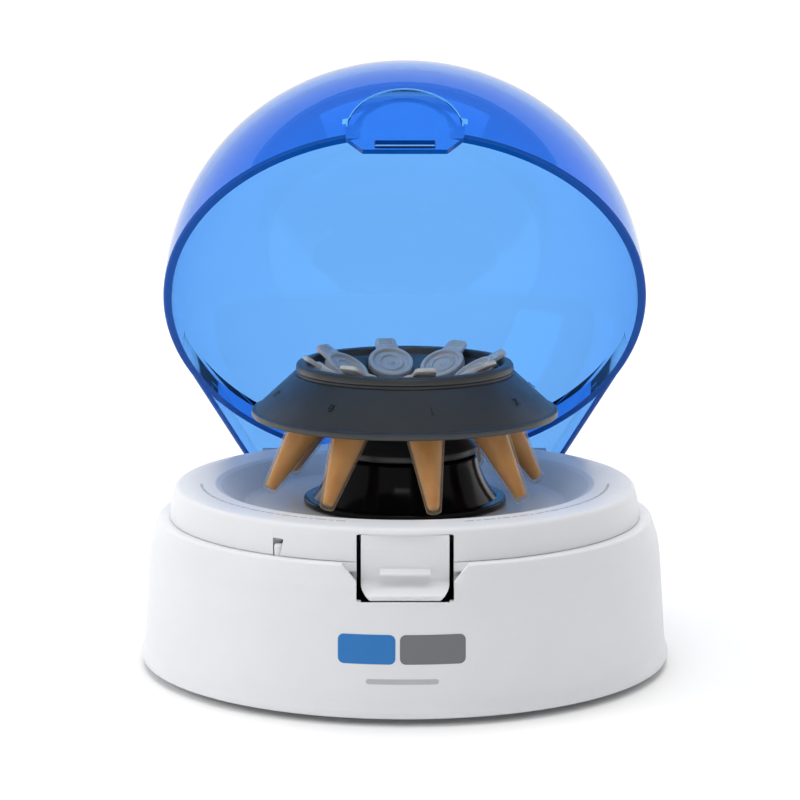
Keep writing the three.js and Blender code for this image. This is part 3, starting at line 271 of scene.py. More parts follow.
def revolved(profile: np.ndarray, steps: int = 128, closed: bool = False) -> Surface:
    """Turns a profile of (radius, height) about the Z axis: (r cos a, r sin a, z).

    Args:
        profile: (n, 2) points. An open profile starts and ends on the axis.
        steps: Segments around.
        closed: True for a ring section whose last point joins its first.

    Returns:
        A closed surface.
    """
    angles = np.linspace(0, 2 * math.pi, steps, endpoint=False)
    body = profile if closed else profile[1:-1]
    r, z = body[:, :1], body[:, 1:]
    grid = np.stack([r * np.cos(angles), r * np.sin(angles), np.broadcast_to(z, (len(body), steps))], -1)
    points = grid.reshape(-1, 3)
    faces = grid_faces(len(body), steps, closed, True)
    if not closed:
        first, last = len(points), len(points) + 1
        points = np.concatenate([points, [[0, 0, profile[0, 1]], [0, 0, profile[-1, 1]]]])
        ring = np.arange(steps)
        after = (ring + 1) % steps
        top = (len(body) - 1) * steps
        faces += [(first, b, a) for a, b in zip(ring.tolist(), after.tolist())]
        faces += [(last, a, b) for a, b in zip((ring + top).tolist(), (after + top).tolist())]
    return outward(Surface(points, faces))


def lofted(sections: np.ndarray) -> Surface:
    """Joins closed sections of the same number of points, and closes both ends with flat faces.

    Args:
        sections: (sections, points, 3) array.

    Returns:
        A closed surface.
    """
    rows, columns = sections.shape[:2]
    faces = grid_faces(rows, columns, False, True)
    faces.append(tuple(range(columns))[::-1])
    faces.append(tuple(range((rows - 1) * columns, rows * columns)))
    return outward(Surface(sections.reshape(-1, 3), faces))


def prism(outline: np.ndarray, low: float, high: float, axis: str = "z") -> Surface:
    """Carries a flat outline along an axis.

    Args:
        outline: (n, 2) points in the plane of the other two axes, in the order x, y, z.
        low: Start along the axis.
        high: End along the axis.
        axis: "x", "y" or "z".

    Returns:
        A closed surface.
    """
    order = {"x": (2, 0, 1), "y": (0, 2, 1), "z": (0, 1, 2)}[axis]
    ends = []
    for level in (low, high):
        flat = np.column_stack([outline, np.full(len(outline), level)])
        ends.append(flat[:, order])
    return lofted(np.stack(ends))


def rod(radius: float, low: float, high: float, axis: str, at: tuple[float, float], steps: int = 32) -> Surface:
    """A cylinder along an axis, its centre at a point of the plane of the other two axes."""
    angles = np.linspace(0, 2 * math.pi, steps, endpoint=False)
    outline = np.stack([at[0] + radius * np.cos(angles), at[1] + radius * np.sin(angles)], 1)
    return prism(outline, low, high, axis)


def block(x: tuple[float, float], y: tuple[float, float], z: tuple[float, float]) -> Surface:
    """A box between limits on each axis."""
    outline = np.array([[x[0], y[0]], [x[1], y[0]], [x[1], y[1]], [x[0], y[1]]])
    return prism(outline, z[0], z[1])


def rounded_rectangle(width: float, height: float, radius: float, at: tuple[float, float] = (0, 0)) -> np.ndarray:
    """An outline with rounded corners around a centre."""
    w, h = width / 2, height / 2
    corners = [(at[0] + sx * w, at[1] + sy * h, radius) for sx, sy in ((-1, -1), (1, -1), (1, 1), (-1, 1))]
    return filleted(corners, closed=True)


# ----------------------------------------------------------------------------------------------------------------------
# Meshes
# ----------------------------------------------------------------------------------------------------------------------
def make_mesh(name: str, surface: Surface, site: Site) -> bpy.types.Object:
    """Puts a surface into a new object at the origin, its place in its mesh.

    Args:
        name: The object's name.
        surface: Shape in millimetres.
        site: The rotor axis in the frame.

    Returns:
        The object.
    """
    mesh = bpy.data.meshes.new(name)
    mesh.from_pydata(site.metres(surface.points), [], surface.faces)
    mesh.validate()
    piece = bpy.data.objects.new(name, mesh)
    bpy.context.scene.collection.objects.link(piece)
    return piece


def settle(piece: bpy.types.Object) -> None:
    """Puts the result of a piece's modifiers into its mesh and takes them off."""
    bpy.context.view_layer.update()
    graph = bpy.context.evaluated_depsgraph_get()
    mesh = bpy.data.meshes.new_from_object(piece.evaluated_get(graph))
    old = piece.data
    mesh.name = old.name
    piece.modifiers.clear()
    piece.data = mesh
    bpy.data.meshes.remove(old)


def weld(piece: bpy.types.Object, distance_mm: float) -> None:
    """Merges points that lie closer than a distance, and drops faces that have no area."""
    work = bmesh.new()
    work.from_mesh(piece.data)
    bmesh.ops.remove_doubles(work, verts=work.verts, dist=distance_mm * MM)
    bmesh.ops.dissolve_degenerate(work, dist=distance_mm * MM, edges=work.edges)
    work.to_mesh(piece.data)
    work.free()


def carve(piece: bpy.types.Object, tools: Iterable[Surface], how: Carve, site: Site) -> None:
    """Cuts, joins or keeps what is common with other bodies, one after another.

    Args:
        piece: The object that changes.
        tools: Closed surfaces in millimetres.
        how: The operation.
        site: The rotor axis in the frame.
    """
    for tool in tools:
        helper = make_mesh("carving_tool", tool, site)
        step = piece.modifiers.new("carve", "BOOLEAN")
        step.operation, step.solver, step.object = how.value, "EXACT", helper
        settle(piece)
        shape = helper.data
        bpy.data.objects.remove(helper)
        bpy.data.meshes.remove(shape)


def soften(piece: bpy.types.Object, width_mm: float, angle_deg: float = 32.0, segments: int = 3) -> None:
    """Rounds a piece's sharp edges by a width and keeps the result."""
    bevel = piece.modifiers.new("soften", "BEVEL")
    bevel.width, bevel.segments = width_mm * MM, segments
    bevel.limit_method, bevel.angle_limit = "ANGLE", math.radians(angle_deg)
    bevel.use_clamp_overlap = True
    bevel.miter_outer = "MITER_ARC"
    settle(piece)


def shade(piece: bpy.types.Object, angle_deg: float = 35.0) -> None:
    """Smooth shading, with edges left sharp where their faces meet at more than an angle."""
    piece.data.shade_smooth()
    piece.data.set_sharp_from_angle(angle=math.radians(angle_deg))


# ----------------------------------------------------------------------------------------------------------------------
# Finishes
# ----------------------------------------------------------------------------------------------------------------------
class NodeSheet:
    """A material's node tree, filled one node at a time."""

    def __init__(self, name: str) -> None:
        """Starts an empty material."""
        self.material = bpy.data.materials.new(name)
        self.material.use_nodes = True
        self.tree = self.material.node_tree
        self.tree.nodes.clear()
        self.output = self.tree.nodes.new("ShaderNodeOutputMaterial")
        self.place = self.tree.nodes.new("ShaderNodeTexCoord").outputs["Object"]

    def add(self, kind: str, values: dict | None = None, **settings: object) -> bpy.types.Node:
        """Adds a node, sets its properties and the values of its inputs.

        Args:
            kind: The node's type.
            values: Input name or index to value, or to the output that feeds it.
            **settings: Properties of the node itself.

        Returns:
            The node.
        """
        node = self.tree.nodes.new(kind)
        for key, value in settings.items():
            setattr(node, key, value)
        for key, value in (values or {}).items():
            if isinstance(value, bpy.types.NodeSocket):
                self.tree.links.new(value, node.inputs[key])
            else:
                node.inputs[key].default_value = value
        return node

    def noise(self, size_mm: float, detail: float = 2.0, rough: float = 0.5) -> bpy.types.NodeSocket:
        """Noise with features of a given size."""
        values = {"Vector": self.place, "Scale": 1 / (size_mm * MM), "Detail": detail, "Roughness": rough}
        return self.add("ShaderNodeTexNoise", values).outputs["Fac"]

    def spread(self, source: bpy.types.NodeSocket, low: float, high: float) -> bpy.types.NodeSocket:
        """Carries a noise's usual range to a range of values."""
        values = {"Value": source, "From Min": 0.3, "From Max": 0.7, "To Min": low, "To Max": high}
        return self.add("ShaderNodeMapRange", values).outputs["Result"]

    def tones(self, source: bpy.types.NodeSocket, dark: Colour, light: Colour) -> bpy.types.NodeSocket:
        """A colour between two tones, by a value."""
        ramp = self.add("ShaderNodeValToRGB", {"Fac": source})
        ramp.color_ramp.elements[0].position, ramp.color_ramp.elements[1].position = 0.3, 0.7
        ramp.color_ramp.elements[0].color = (*dark, 1)
        ramp.color_ramp.elements[1].color = (*light, 1)
        return ramp.outputs["Color"]

    def bump(self, height: bpy.types.NodeSocket, depth_mm: float, over: object = None) -> bpy.types.NodeSocket:
        """A normal raised by a height, of a given depth."""
        values = {"Height": height, "Distance": depth_mm * MM, "Strength": 1.0}
        if over is not None:
            values["Normal"] = over
        return self.add("ShaderNodeBump", values).outputs["Normal"]

    def finish(self, shader: bpy.types.Node, volume: bpy.types.Node | None = None) -> bpy.types.Material:
        """Connects the shader and, if there is one, the volume to the output."""
        self.tree.links.new(shader.outputs[0], self.output.inputs["Surface"])
        if volume is not None:
            self.tree.links.new(volume.outputs[0], self.output.inputs["Volume"])
        return self.material


class Finish(Protocol):
    """What every finish offers."""

    name: str
    slot: str

    def build(self) -> bpy.types.Material:
        """Makes the material."""


def shaded(colour: Colour, factor: float) -> Colour:
    """A colour made lighter or darker by a factor."""
    return tuple(min(1.0, channel * factor) for channel in colour)


@dataclass(frozen=True)
class Moulding:
    """Moulded plastic or rubber: faint tone drift, uneven polish and a fine grain."""

    name: str
    slot: str
    colour: Colour
    roughness: float
    tone_drift: float = 0.03
    polish_drift: float = 0.05
    grain_mm: float = 0.35
    grain_depth_mm: float = 0.006
    flow_mm: float = 22.0
    subsurface: float = 0.0
    coat: float = 0.0
    shine: float = 0.5

    def build(self) -> bpy.types.Material:
        """Makes the material from a slow tone noise, a polish noise and a grain bump."""
        sheet = NodeSheet(self.name)
        slow = sheet.noise(self.flow_mm)
        colour = sheet.tones(slow, shaded(self.colour, 1 - self.tone_drift), shaded(self.colour, 1 + self.tone_drift))
        polish = sheet.spread(sheet.noise(self.flow_mm / 5, 4.0), self.roughness - self.polish_drift,
                              self.roughness + self.polish_drift)
        grain = sheet.bump(sheet.noise(self.grain_mm, 3.0, 0.6), self.grain_depth_mm)
        values = {"Base Color": colour, "Roughness": polish, "Normal": grain, "Coat Weight": self.coat,
                  "Coat Roughness": 0.06, "Specular IOR Level": self.shine, "Subsurface Weight": self.subsurface, "Subsurface Scale": 1.2 * MM}
        return sheet.finish(sheet.add("ShaderNodeBsdfPrincipled", values))


@dataclass(frozen=True)
class TintedClear:
    """Clear polished plastic whose tint deepens with thickness."""

    name: str
    slot: str
    dye: Colour
    tint: Colour
    density: float
    ior: float = 1.5
    shine: float = 0.4
    glint: Colour = (0.10, 0.50, 1.0)
    roughness: float = 0.02
    ripple_mm: float = 26.0
    ripple_depth_mm: float = 0.02

    def build(self) -> bpy.types.Material:
        """Makes the material from a dyed clear shell with a faint ripple and an absorbing inside."""
        sheet = NodeSheet(self.name)
        ripple = sheet.bump(sheet.noise(self.ripple_mm), self.ripple_depth_mm)
        polish = sheet.spread(sheet.noise(9.0, 4.0), self.roughness, self.roughness * 2)
        values = {"Base Color": (*self.dye, 1), "Roughness": polish, "Normal": ripple, "IOR": self.ior,
                  "Specular IOR Level": self.shine, "Specular Tint": (*self.glint, 1), "Transmission Weight": 1.0}
        shell = sheet.add("ShaderNodeBsdfPrincipled", values)
        inside = sheet.add("ShaderNodeVolumeAbsorption", {"Color": (*self.tint, 1), "Density": self.density})
        return sheet.finish(shell, inside)


@dataclass(frozen=True)
class Frosted:
    """Translucent thin plastic: see-through face on, paler and denser at its edges."""

    name: str
    slot: str
    colour: Colour
    cover: tuple[float, float]
    roughness: float = 0.3
    cloud_mm: float = 3.0

    def build(self) -> bpy.types.Material:
        """Makes the material as a mix of clear and milky, by the angle that the surface is seen at."""
        sheet = NodeSheet(self.name)
        cloud = sheet.noise(self.cloud_mm, 3.0)
        colour = sheet.tones(cloud, shaded(self.colour, 0.92), shaded(self.colour, 1.06))
        grain = sheet.bump(sheet.noise(0.5, 2.0), 0.008)
        milky = sheet.add("ShaderNodeBsdfPrincipled", {
            "Base Color": colour, "Roughness": self.roughness, "Normal": grain, "Subsurface Weight": 0.35,
            "Subsurface Scale": 1.5 * MM, "Coat Weight": 0.15})
        edge = sheet.add("ShaderNodeLayerWeight", {"Blend": 0.35}).outputs["Facing"]
        amount = sheet.add("ShaderNodeMapRange", {"Value": edge, "To Min": self.cover[0], "To Max": self.cover[1]})
        clear = sheet.add("ShaderNodeBsdfTransparent", {"Color": (0.97, 0.98, 0.98, 1)})
        return sheet.finish(sheet.add("ShaderNodeMixShader", {
            0: amount.outputs["Result"], 1: clear.outputs[0], 2: milky.outputs[0]}))


@dataclass(frozen=True)
class Liquid:
    """Cloudy liquid with a soft depth."""

    name: str
    slot: str
    colour: Colour
    deep: Colour
    roughness: float = 0.12

    def build(self) -> bpy.types.Material:
        """Makes the material from a slow cloud between two tones, under a smooth face."""
        sheet = NodeSheet(self.name)
        cloud = sheet.noise(7.0, 2.0)
        values = {"Base Color": sheet.tones(cloud, self.deep, self.colour), "Roughness": self.roughness,
                  "Subsurface Weight": 0.6, "Subsurface Radius": (1.0, 0.55, 0.25), "Subsurface Scale": 3 * MM,
                  "IOR": 1.36}
        return sheet.finish(sheet.add("ShaderNodeBsdfPrincipled", values))


@dataclass(frozen=True)
class Metal:
    """Turned or drawn metal: fine lines around Z and a patchy polish."""

    name: str
    slot: str
    colour: Colour
    roughness: float
    line_mm: float = 0.25

    def build(self) -> bpy.types.Material:
        """Makes the material from lines that repeat along Z and a patchy polish."""
        sheet = NodeSheet(self.name)
        stretch = sheet.add("ShaderNodeMapping", {"Vector": sheet.place, "Scale": (0.05, 0.05, 1.0)})
        lines = sheet.add("ShaderNodeTexNoise", {"Vector": stretch.outputs[0], "Scale": 1 / (self.line_mm * MM)})
        colour = sheet.tones(sheet.noise(6.0), shaded(self.colour, 0.9), shaded(self.colour, 1.05))
        polish = sheet.spread(sheet.noise(3.0, 4.0), self.roughness * 0.8, self.roughness * 1.25)
        values = {"Base Color": colour, "Metallic": 1.0, "Roughness": polish,
                  "Normal": sheet.bump(lines.outputs["Fac"], 0.004)}
        return sheet.finish(sheet.add("ShaderNodeBsdfPrincipled", values))


@dataclass(frozen=True)
class Winding:
    """Varnished wire wound around an armature."""

    name: str
    slot: str
    colour: Colour
    wire_mm: float = 0.5

    def build(self) -> bpy.types.Material:
        """Makes the material from a band pattern one wire wide, with painted shade in the grooves between turns."""
        sheet = NodeSheet(self.name)
        bands = sheet.add("ShaderNodeTexWave", {
            "Vector": sheet.place, "Scale": 1 / (self.wire_mm * MM * 3.14), "Distortion": 1.5}, bands_direction="Z")
        # Painted shade: the darker half of each band lies in the groove where the bump sinks, between the turns.
        colour = sheet.tones(bands.outputs["Fac"], shaded(self.colour, 0.5), self.colour)
        values = {"Base Color": colour, "Metallic": 0.7, "Roughness": 0.35,
                  "Normal": sheet.bump(bands.outputs["Fac"], 0.1)}
        return sheet.finish(sheet.add("ShaderNodeBsdfPrincipled", values))


WHITE_SHELL = Moulding("white_shell_abs", "white_shell", (0.765, 0.775, 0.80), 0.36, tone_drift=0.012,
                       grain_mm=0.3, grain_depth_mm=0.003, subsurface=0.05)
GREY_SHELL = Moulding("grey_moulding", "grey_plastic", (0.46, 0.48, 0.5), 0.5, grain_depth_mm=0.01)
BLACK_SHELL = Moulding("black_moulding", "black_plastic", (0.018, 0.019, 0.021), 0.36, tone_drift=0.1)
ROTOR_FACE = Moulding("rotor_moulding", "rotor_plastic", (0.012, 0.015, 0.018), 0.40, tone_drift=0.08, shine=0.8,
                      grain_mm=0.4, grain_depth_mm=0.006)
PEDESTAL_FACE = Moulding("pedestal_polish", "pedestal_gloss", (0.003, 0.003, 0.004), 0.14, tone_drift=0.1,
                         polish_drift=0.03, grain_mm=1.2, grain_depth_mm=0.002, shine=0.16)
# Painted shade: an opaque darker copy of the lid's blue for the rim's cut faces and the tab's sides, where the clear
# edge looks deeper.
LID_RIM_PAINTED_SHADE = Moulding("lid_blue_rim_painted_shade", "lid_blue", (0.0, 0.075, 0.40), 0.12, tone_drift=0.06, shine=0.2)
# Painted highlight: an opaque lighter copy of the lid's blue for the arch bead's line, where the bead catches the
# light.
LID_BEAD_PAINTED_HIGHLIGHT = Moulding("lid_blue_bead_painted_highlight", "lid_blue", (0.10, 0.42, 0.98), 0.2, tone_drift=0.02)
LID_BLUE = TintedClear("lid_blue_clear", "lid_blue", (0.22, 0.50, 0.90), (0.0, 0.445, 0.853), 198.0)
TUBE_SKIN = Frosted("tube_polypropylene", "tube_clear", (0.74, 0.55, 0.34), (0.03, 0.42))
CAP_SKIN = Frosted("cap_polypropylene", "cap_frosted", (0.54, 0.56, 0.57), (0.72, 0.97), roughness=0.26)
AMBER = Liquid("amber_sample", "sample_amber", (0.80, 0.42, 0.15), (0.66, 0.32, 0.10))
RUBBER = Moulding("foot_rubber", "rubber", (0.02, 0.02, 0.021), 0.8, grain_mm=0.5, grain_depth_mm=0.02)
STEEL = Metal("turned_steel", "steel", (0.62, 0.62, 0.63), 0.28)
BRASS = Metal("turned_brass", "brass", (0.72, 0.52, 0.24), 0.3)
COPPER = Winding("copper_winding", "copper", (0.62, 0.28, 0.12))
BOARD = Moulding("solder_mask", "board", (0.02, 0.16, 0.06), 0.35, tone_drift=0.15, coat=0.3)
PRINT_BLUE = Moulding("print_blue", "lid_blue", (0.01, 0.17, 0.50), 0.4)
PRINT_GREY = Moulding("print_grey", "grey_plastic", (0.16, 0.165, 0.175), 0.45)
PRINT_PALE = Moulding("print_pale", "grey_plastic", (0.46, 0.47, 0.49), 0.45)


def dress(piece: bpy.types.Object, finish: Finish) -> None:
    """Gives a piece its finish, building the material the first time."""
    material = bpy.data.materials.get(finish.name) or finish.build()
    piece.data.materials.clear()
    piece.data.materials.append(material)


def fit(piece: bpy.types.Object, finish: Finish, body: str, *nodes: str, angle_deg: float = 35.0) -> None:
    """Finishes a new piece: shading, finish, the body it rides on and the CAD nodes it stands for.

    Args:
        piece: The new piece.
        finish: Its finish.
        body: The CAD body that it moves with.
        *nodes: CAD nodes that it replaces.
        angle_deg: Edges that turn more than this stay sharp.
    """
    shade(piece, angle_deg)
    dress(piece, finish)
    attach(piece, body)
    if nodes:
        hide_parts(*nodes)
    LOG.info("%s: %d faces on %s", piece.name, len(piece.data.polygons), body)


# ----------------------------------------------------------------------------------------------------------------------
# Shared layout, from the frame
# ----------------------------------------------------------------------------------------------------------------------
@dataclass(frozen=True)
class Layout:
    """Main sizes that several sub-assemblies share, in millimetres around the rotor axis."""

    base_radius: float
    base_rear: float
    underside_z: float
    shoulder_z: float
    rim_z: float
    cover_radius: float
    ring_z: float
    lid_radius: float
    hinge_y: float
    hinge_z: float
    tail_corner: float = 16.0
    flank: float = math.radians(21)

    @classmethod
    def from_frame(cls, site: Site) -> "Layout":
        """Measures the base, the cover and the hinge in the frame."""
        housing, cover = Extent.of("lower_housing", site), Extent.of("top_cover", site)
        hinge = (site.hinge - site.axis) / MM
        shoulder = hinge.z - 2.1
        foot_lean = 0.1
        return cls(
            base_radius=housing.high.x + foot_lean, base_rear=housing.high.y + foot_lean,
            underside_z=housing.low.z, shoulder_z=shoulder, rim_z=shoulder + 0.3, cover_radius=cover.high.x,
            ring_z=cover.high.z - 0.2, lid_radius=hinge.y - 0.5, hinge_y=hinge.y, hinge_z=hinge.z)

    def plan(self, inset: float = 0.0, front_steps: int = 150, corner_steps: int = 14) -> np.ndarray:
        """The base's plan drawn in by an inset, as points with their outward directions.

        Three arcs follow each other, the wide front and the two rear corners, with straight stretches between them that
        touch both arcs. Drawing in moves every point against its direction.

        Args:
            inset: Distance inwards.
            front_steps: Segments of the front arc.
            corner_steps: Segments of each rear corner.

        Returns:
            An (n, 4) array of x, y and the direction's x and y.
        """
        tail_y = self.base_rear - self.tail_corner
        tail_x = (self.base_radius - self.tail_corner - tail_y * math.sin(self.flank)) / math.cos(self.flank)
        arcs = []
        for x, y, radius, start, end, steps in (
                (0, 0, self.base_radius, math.pi - self.flank, 2 * math.pi + self.flank, front_steps),
                (tail_x, tail_y, self.tail_corner, self.flank, math.pi / 2, corner_steps),
                (-tail_x, tail_y, self.tail_corner, math.pi / 2, math.pi - self.flank, corner_steps)):
            angles = np.linspace(start, end, steps + 1)
            way = np.stack([np.cos(angles), np.sin(angles)], 1)
            arcs.append(np.concatenate([np.array([x, y]) + radius * way, way], 1))
        rows = []
        between = np.linspace(0, 1, 14)[1:-1, None]
        for arc, following in zip(arcs, arcs[1:] + arcs[:1]):
            rows += [arc, arc[-1] + (following[0] - arc[-1]) * between]
        outline = np.concatenate(rows)
        outline[:, :2] -= inset * outline[:, 2:]
        return outline

    def wall_lean(self, z: np.ndarray) -> np.ndarray:
        """How far the housing's wall stands in from the plan, on its straight middle stretch."""
        return 1.1 + (z - 6.8) * 1.6 / (self.shoulder_z - 10.8 - 6.8)

    def tab_outline(self, clearance: float, width: float, foot_width: float, drop: float) -> np.ndarray:
        """The trapezoid of the lid's front tab in x and z, widened by a clearance."""
        top, foot = width / 2 + clearance, foot_width / 2 + clearance
        low, shoulder = self.rim_z - drop - clearance, self.shoulder_z - clearance
        return filleted([
            (-top, self.shoulder_z + 1, 0), (-top, shoulder, 0.6), (-foot, low, 0.8), (foot, low, 0.8),
            (top, shoulder, 0.6), (top, self.shoulder_z + 1, 0)], closed=True, steps=4)


TAB_WIDTH, TAB_FOOT_WIDTH, TAB_DROP, TAB_WALL = 33.0, 23.6, 5.3, 1.7
LATCH_SLOT, SLIP, GAP = 1.2, 0.4, 0.3
SWITCH_ANGLE = math.radians(-30.8)
PIN_RADIUS = 1.5


def facet_distance(layout: Layout) -> float:
    """Distance of the lid's flat front from the rotor axis: the chord of the tab's width on the rim."""
    return math.sqrt(layout.lid_radius ** 2 - (TAB_WIDTH / 2) ** 2)


def around_axis(angle: float) -> Matrix:
    """A turn about the rotor axis."""
    return Matrix.Rotation(angle, 4, "Z")


# ----------------------------------------------------------------------------------------------------------------------
# Base
# ----------------------------------------------------------------------------------------------------------------------
@dataclass
class Base:
    """Lower housing, top cover, bottom plate, feet, screws and printed marks."""

    site: Site
    layout: Layout
    housing_wall: float = 2.4
    cover_wall: float = 2.2
    pivot_depth: float = 2.15
    head_play: float = 0.5
    post_ring: float = 57.0
    post_radius: float = 3.6
    screw_radius: float = 1.2
    screw_head: float = 2.8
    hairline: float = 0.12
    body: str = "base"

    def build(self) -> None:
        """Builds every piece of the base."""
        self.latch = Extent.of("front_latch", self.site)
        self.housing()
        self.cover()
        self.plate()
        self.feet()
        self.screws()
        self.marks()

    def latch_window(self, top: float, bottom: float, corner: float) -> Surface:
        """A prism through the front wall, as wide as the latch and its two slots, with rounded corners."""
        half = self.latch.high.x + LATCH_SLOT
        outline = filleted([(-half, bottom, corner), (half, bottom, corner), (half, top, 0.6), (-half, top, 0.6)],
                           closed=True)
        return prism(outline, -self.layout.base_radius - 1, -self.layout.lid_radius + 9, "y")

    def tab_recess(self, clearance: float = SLIP) -> Surface:
        """The room in the shoulder that the lid's front tab drops into."""
        outline = self.layout.tab_outline(clearance, TAB_WIDTH, TAB_FOOT_WIDTH, TAB_DROP)
        return prism(outline, -self.layout.base_radius - 1, -facet_distance(self.layout) + TAB_WALL + clearance, "y")

    def plunger_way(self, top: float) -> Surface:
        """The upright hole that the lid switch's plunger slides in."""
        plunger = Extent.of("lid_switch_plunger", self.site)
        place = (plunger.centre.x, plunger.centre.y)
        return rod(plunger.size.x / 2 + GAP, self.layout.shoulder_z - 6, top, "z", place)

    def housing(self) -> None:
        """The lower housing: a wall carried around the plan, with a ledge that ends in the round mouth.

        The section's points are (lean, height, share, mouth radius). A point lies at the plan drawn in by its lean, or,
        as its share goes to one, on a circle of the mouth's radius in the same direction from the rotor axis.
        """
        lay, top = self.layout, self.layout.shoulder_z
        roof = top - self.housing_wall
        outer = filleted([
            (1.7, lay.underside_z, 0), (0.15, lay.underside_z + 0.4, 0.9), (0.1, lay.underside_z + 2, 1.4),
            (1.1, lay.underside_z + 5, 5), (2.7, top - 10.8, 30), (3.4, top - 6, 16), (4.55, top - 2.6, 7),
            (5.35, top, 1.5), (6.8, top, 0)])
        mouth = lay.cover_radius - 1 + GAP
        ledge = np.array([[0, top - 0.35, 1, mouth + 0.1], [0, top, 1, mouth + 0.4]])[::-1]
        inner = np.array([
            [0, roof, 1, mouth], [self.housing_wall + 4.6, roof, 0, 0], [self.housing_wall + 3.4, top - 6, 0, 0],
            [self.housing_wall + 1.1, lay.underside_z + 5, 0, 0], [self.housing_wall + 1.1, lay.underside_z, 0, 0]])
        wall = np.column_stack([outer, np.zeros((len(outer), 2))])
        section = np.concatenate([wall, ledge, inner])
        plan = lay.plan()
        lean, height, share, radius = (section[:, k][:, None, None] for k in range(4))
        drawn_in = plan[None, :, :2] - lean * plan[None, :, 2:]
        towards = plan[None, :, :2] / np.linalg.norm(plan[None, :, :2], axis=2, keepdims=True)
        flat = drawn_in * (1 - share) + radius * towards * share
        grid = np.concatenate([flat, np.broadcast_to(height, (*flat.shape[:2], 1))], 2)
        shell = outward(Surface(grid.reshape(-1, 3), grid_faces(*flat.shape[:2], True, True)))
        piece = make_mesh("housing_shell", shell, self.site)
        carve(piece, self.knuckles(), Carve.JOIN, self.site)
        carve(piece, self.housing_cuts(top), Carve.CUT, self.site)
        weld(piece, 0.02)
        soften(piece, 0.28, 38.0, 2)
        fit(piece, WHITE_SHELL, self.body, "lower_housing")

    def knuckles(self) -> list[Surface]:
        """The two hinge knuckles with the webs under them."""
        lay = self.layout
        outer, inner = 44.2, 34.0
        made = []
        for side in Side:
            low, high = sorted((side.value * inner, side.value * outer))
            made.append(rod(3.6, low, high, "x", (lay.hinge_y, lay.hinge_z), 40))
            made.append(block((low + 0.01, high - 0.01), (lay.hinge_y - 3.2, lay.hinge_y + 3.2),
                              (lay.shoulder_z - 1, lay.hinge_z)))
        return made

    def housing_cuts(self, top: float) -> list[Surface]:
        """Everything cut out of the housing.

        Args:
            top: Height of the shoulder.

        Returns:
            The tab's recess, the latch's window with its sill, the plunger's way, the rear holes and the hinge bores.
        """
        lay, latch = self.layout, self.latch
        jack, switch = Extent.of("dc_jack", self.site), Extent.of("power_switch_frame", self.site)
        sill = prism(np.array([[latch.low.y - 0.2, latch.low.z - self.hairline], [latch.low.y + 3, latch.low.z - 1.5],
                               [latch.low.y + 3, latch.low.z], [latch.low.y - 0.2, latch.low.z]]),
                     latch.low.x, latch.high.x, "x")
        cuts = [self.tab_recess(), self.latch_window(top + 1, latch.low.z - self.hairline, 0.5), sill,
                self.plunger_way(top + 1),
                rod(jack.size.x / 2 - 1.1, lay.base_rear - 9, lay.base_rear + 2, "y", (jack.centre.x, jack.centre.z)),
                prism(rounded_rectangle(switch.size.x - 2, switch.size.z - 2, 0.8, (switch.centre.x, switch.centre.z)),
                      lay.base_rear - 9, lay.base_rear + 2, "y")]
        for side in Side:
            for radius, near, far in ((PIN_RADIUS + GAP, 35.2, 45.5), (3.3 + SLIP, 44.21, 60.0)):
                low, high = sorted((side.value * near, side.value * far))
                cuts.append(rod(radius, low, high, "x", (lay.hinge_y, lay.hinge_z)))
        return cuts

    def cover(self) -> None:
        """The top cover: collar, top ring, well and floor turned as one section, with its screw posts."""
        lay = self.layout
        rim, ring, foot = lay.shoulder_z + self.hairline / 2, lay.ring_z, lay.shoulder_z - 3.6
        radius, ring_radius, well, well_floor, floor = lay.cover_radius, lay.cover_radius - 3.3, 53.4, 45.4, ring - 6.1
        opening, wall = 18.2, self.cover_wall
        section = filleted([
            (radius - 1, foot, 0.2), (radius - 1, rim, 0.1), (radius, rim, 0.25), (radius - 0.55, rim + 3.4, 14),
            (ring_radius + 1.5, ring, 1.7), (ring_radius - 2.4, ring + 0.18, 6), (well + 1.2, ring + 0.15, 1.5),
            (well - 0.4, ring - 0.5, 1.4), (well_floor + 0.9, floor + 0.5, 2.2), (well_floor - 1.6, floor, 3),
            (opening, floor, 0.5), (opening, floor - wall, 0.3), (well_floor + 0.6, floor - wall, 1),
            (well + 0.4, ring - wall, 1), (ring_radius - 1.2, ring - wall, 1), (radius - 1 - wall, rim + 3, 1),
            (radius - 1 - wall, foot, 0.2)], closed=True)
        piece = make_mesh("well_cover", revolved(section, 200, closed=True), self.site)
        plate_top = lay.underside_z + 2.5
        posts, bores = [], []
        for k in range(4):
            angle = math.radians(45 + 90 * k)
            place = (self.post_ring * math.cos(angle), self.post_ring * math.sin(angle))
            posts.append(rod(self.post_radius, plate_top + GAP, ring - 1, "z", place))
            bores.append(rod(self.screw_radius + GAP, plate_top, plate_top + 12, "z", place))
        carve(piece, posts + [self.apron(radius - 1, foot)], Carve.JOIN, self.site)
        plunger = Extent.of("lid_switch_plunger", self.site)
        latch = self.latch
        head_room = block((-latch.high.x - GAP, latch.high.x + GAP),
                          (-facet_distance(lay) + TAB_WALL + self.pivot_depth, -lay.lid_radius + 9),
                          (latch.high.z - 1, latch.high.z + self.head_play))
        cuts = [self.latch_window(latch.high.z + self.hairline, lay.shoulder_z - 8, 0.1), head_room,
                self.tab_recess(), self.plunger_way(plunger.high.z + 1.6)]
        for node in ("bracket_screw_1", "bracket_screw_2"):
            screw = Extent.of(node, self.site)
            cuts.append(rod(self.screw_radius + GAP, floor - wall - 1, floor - 0.7, "z",
                            (screw.centre.x, screw.centre.y)))
        carve(piece, bores + cuts, Carve.CUT, self.site)
        weld(piece, 0.02)
        soften(piece, 0.25, 40.0, 2)
        fit(piece, WHITE_SHELL, self.body, "top_cover")

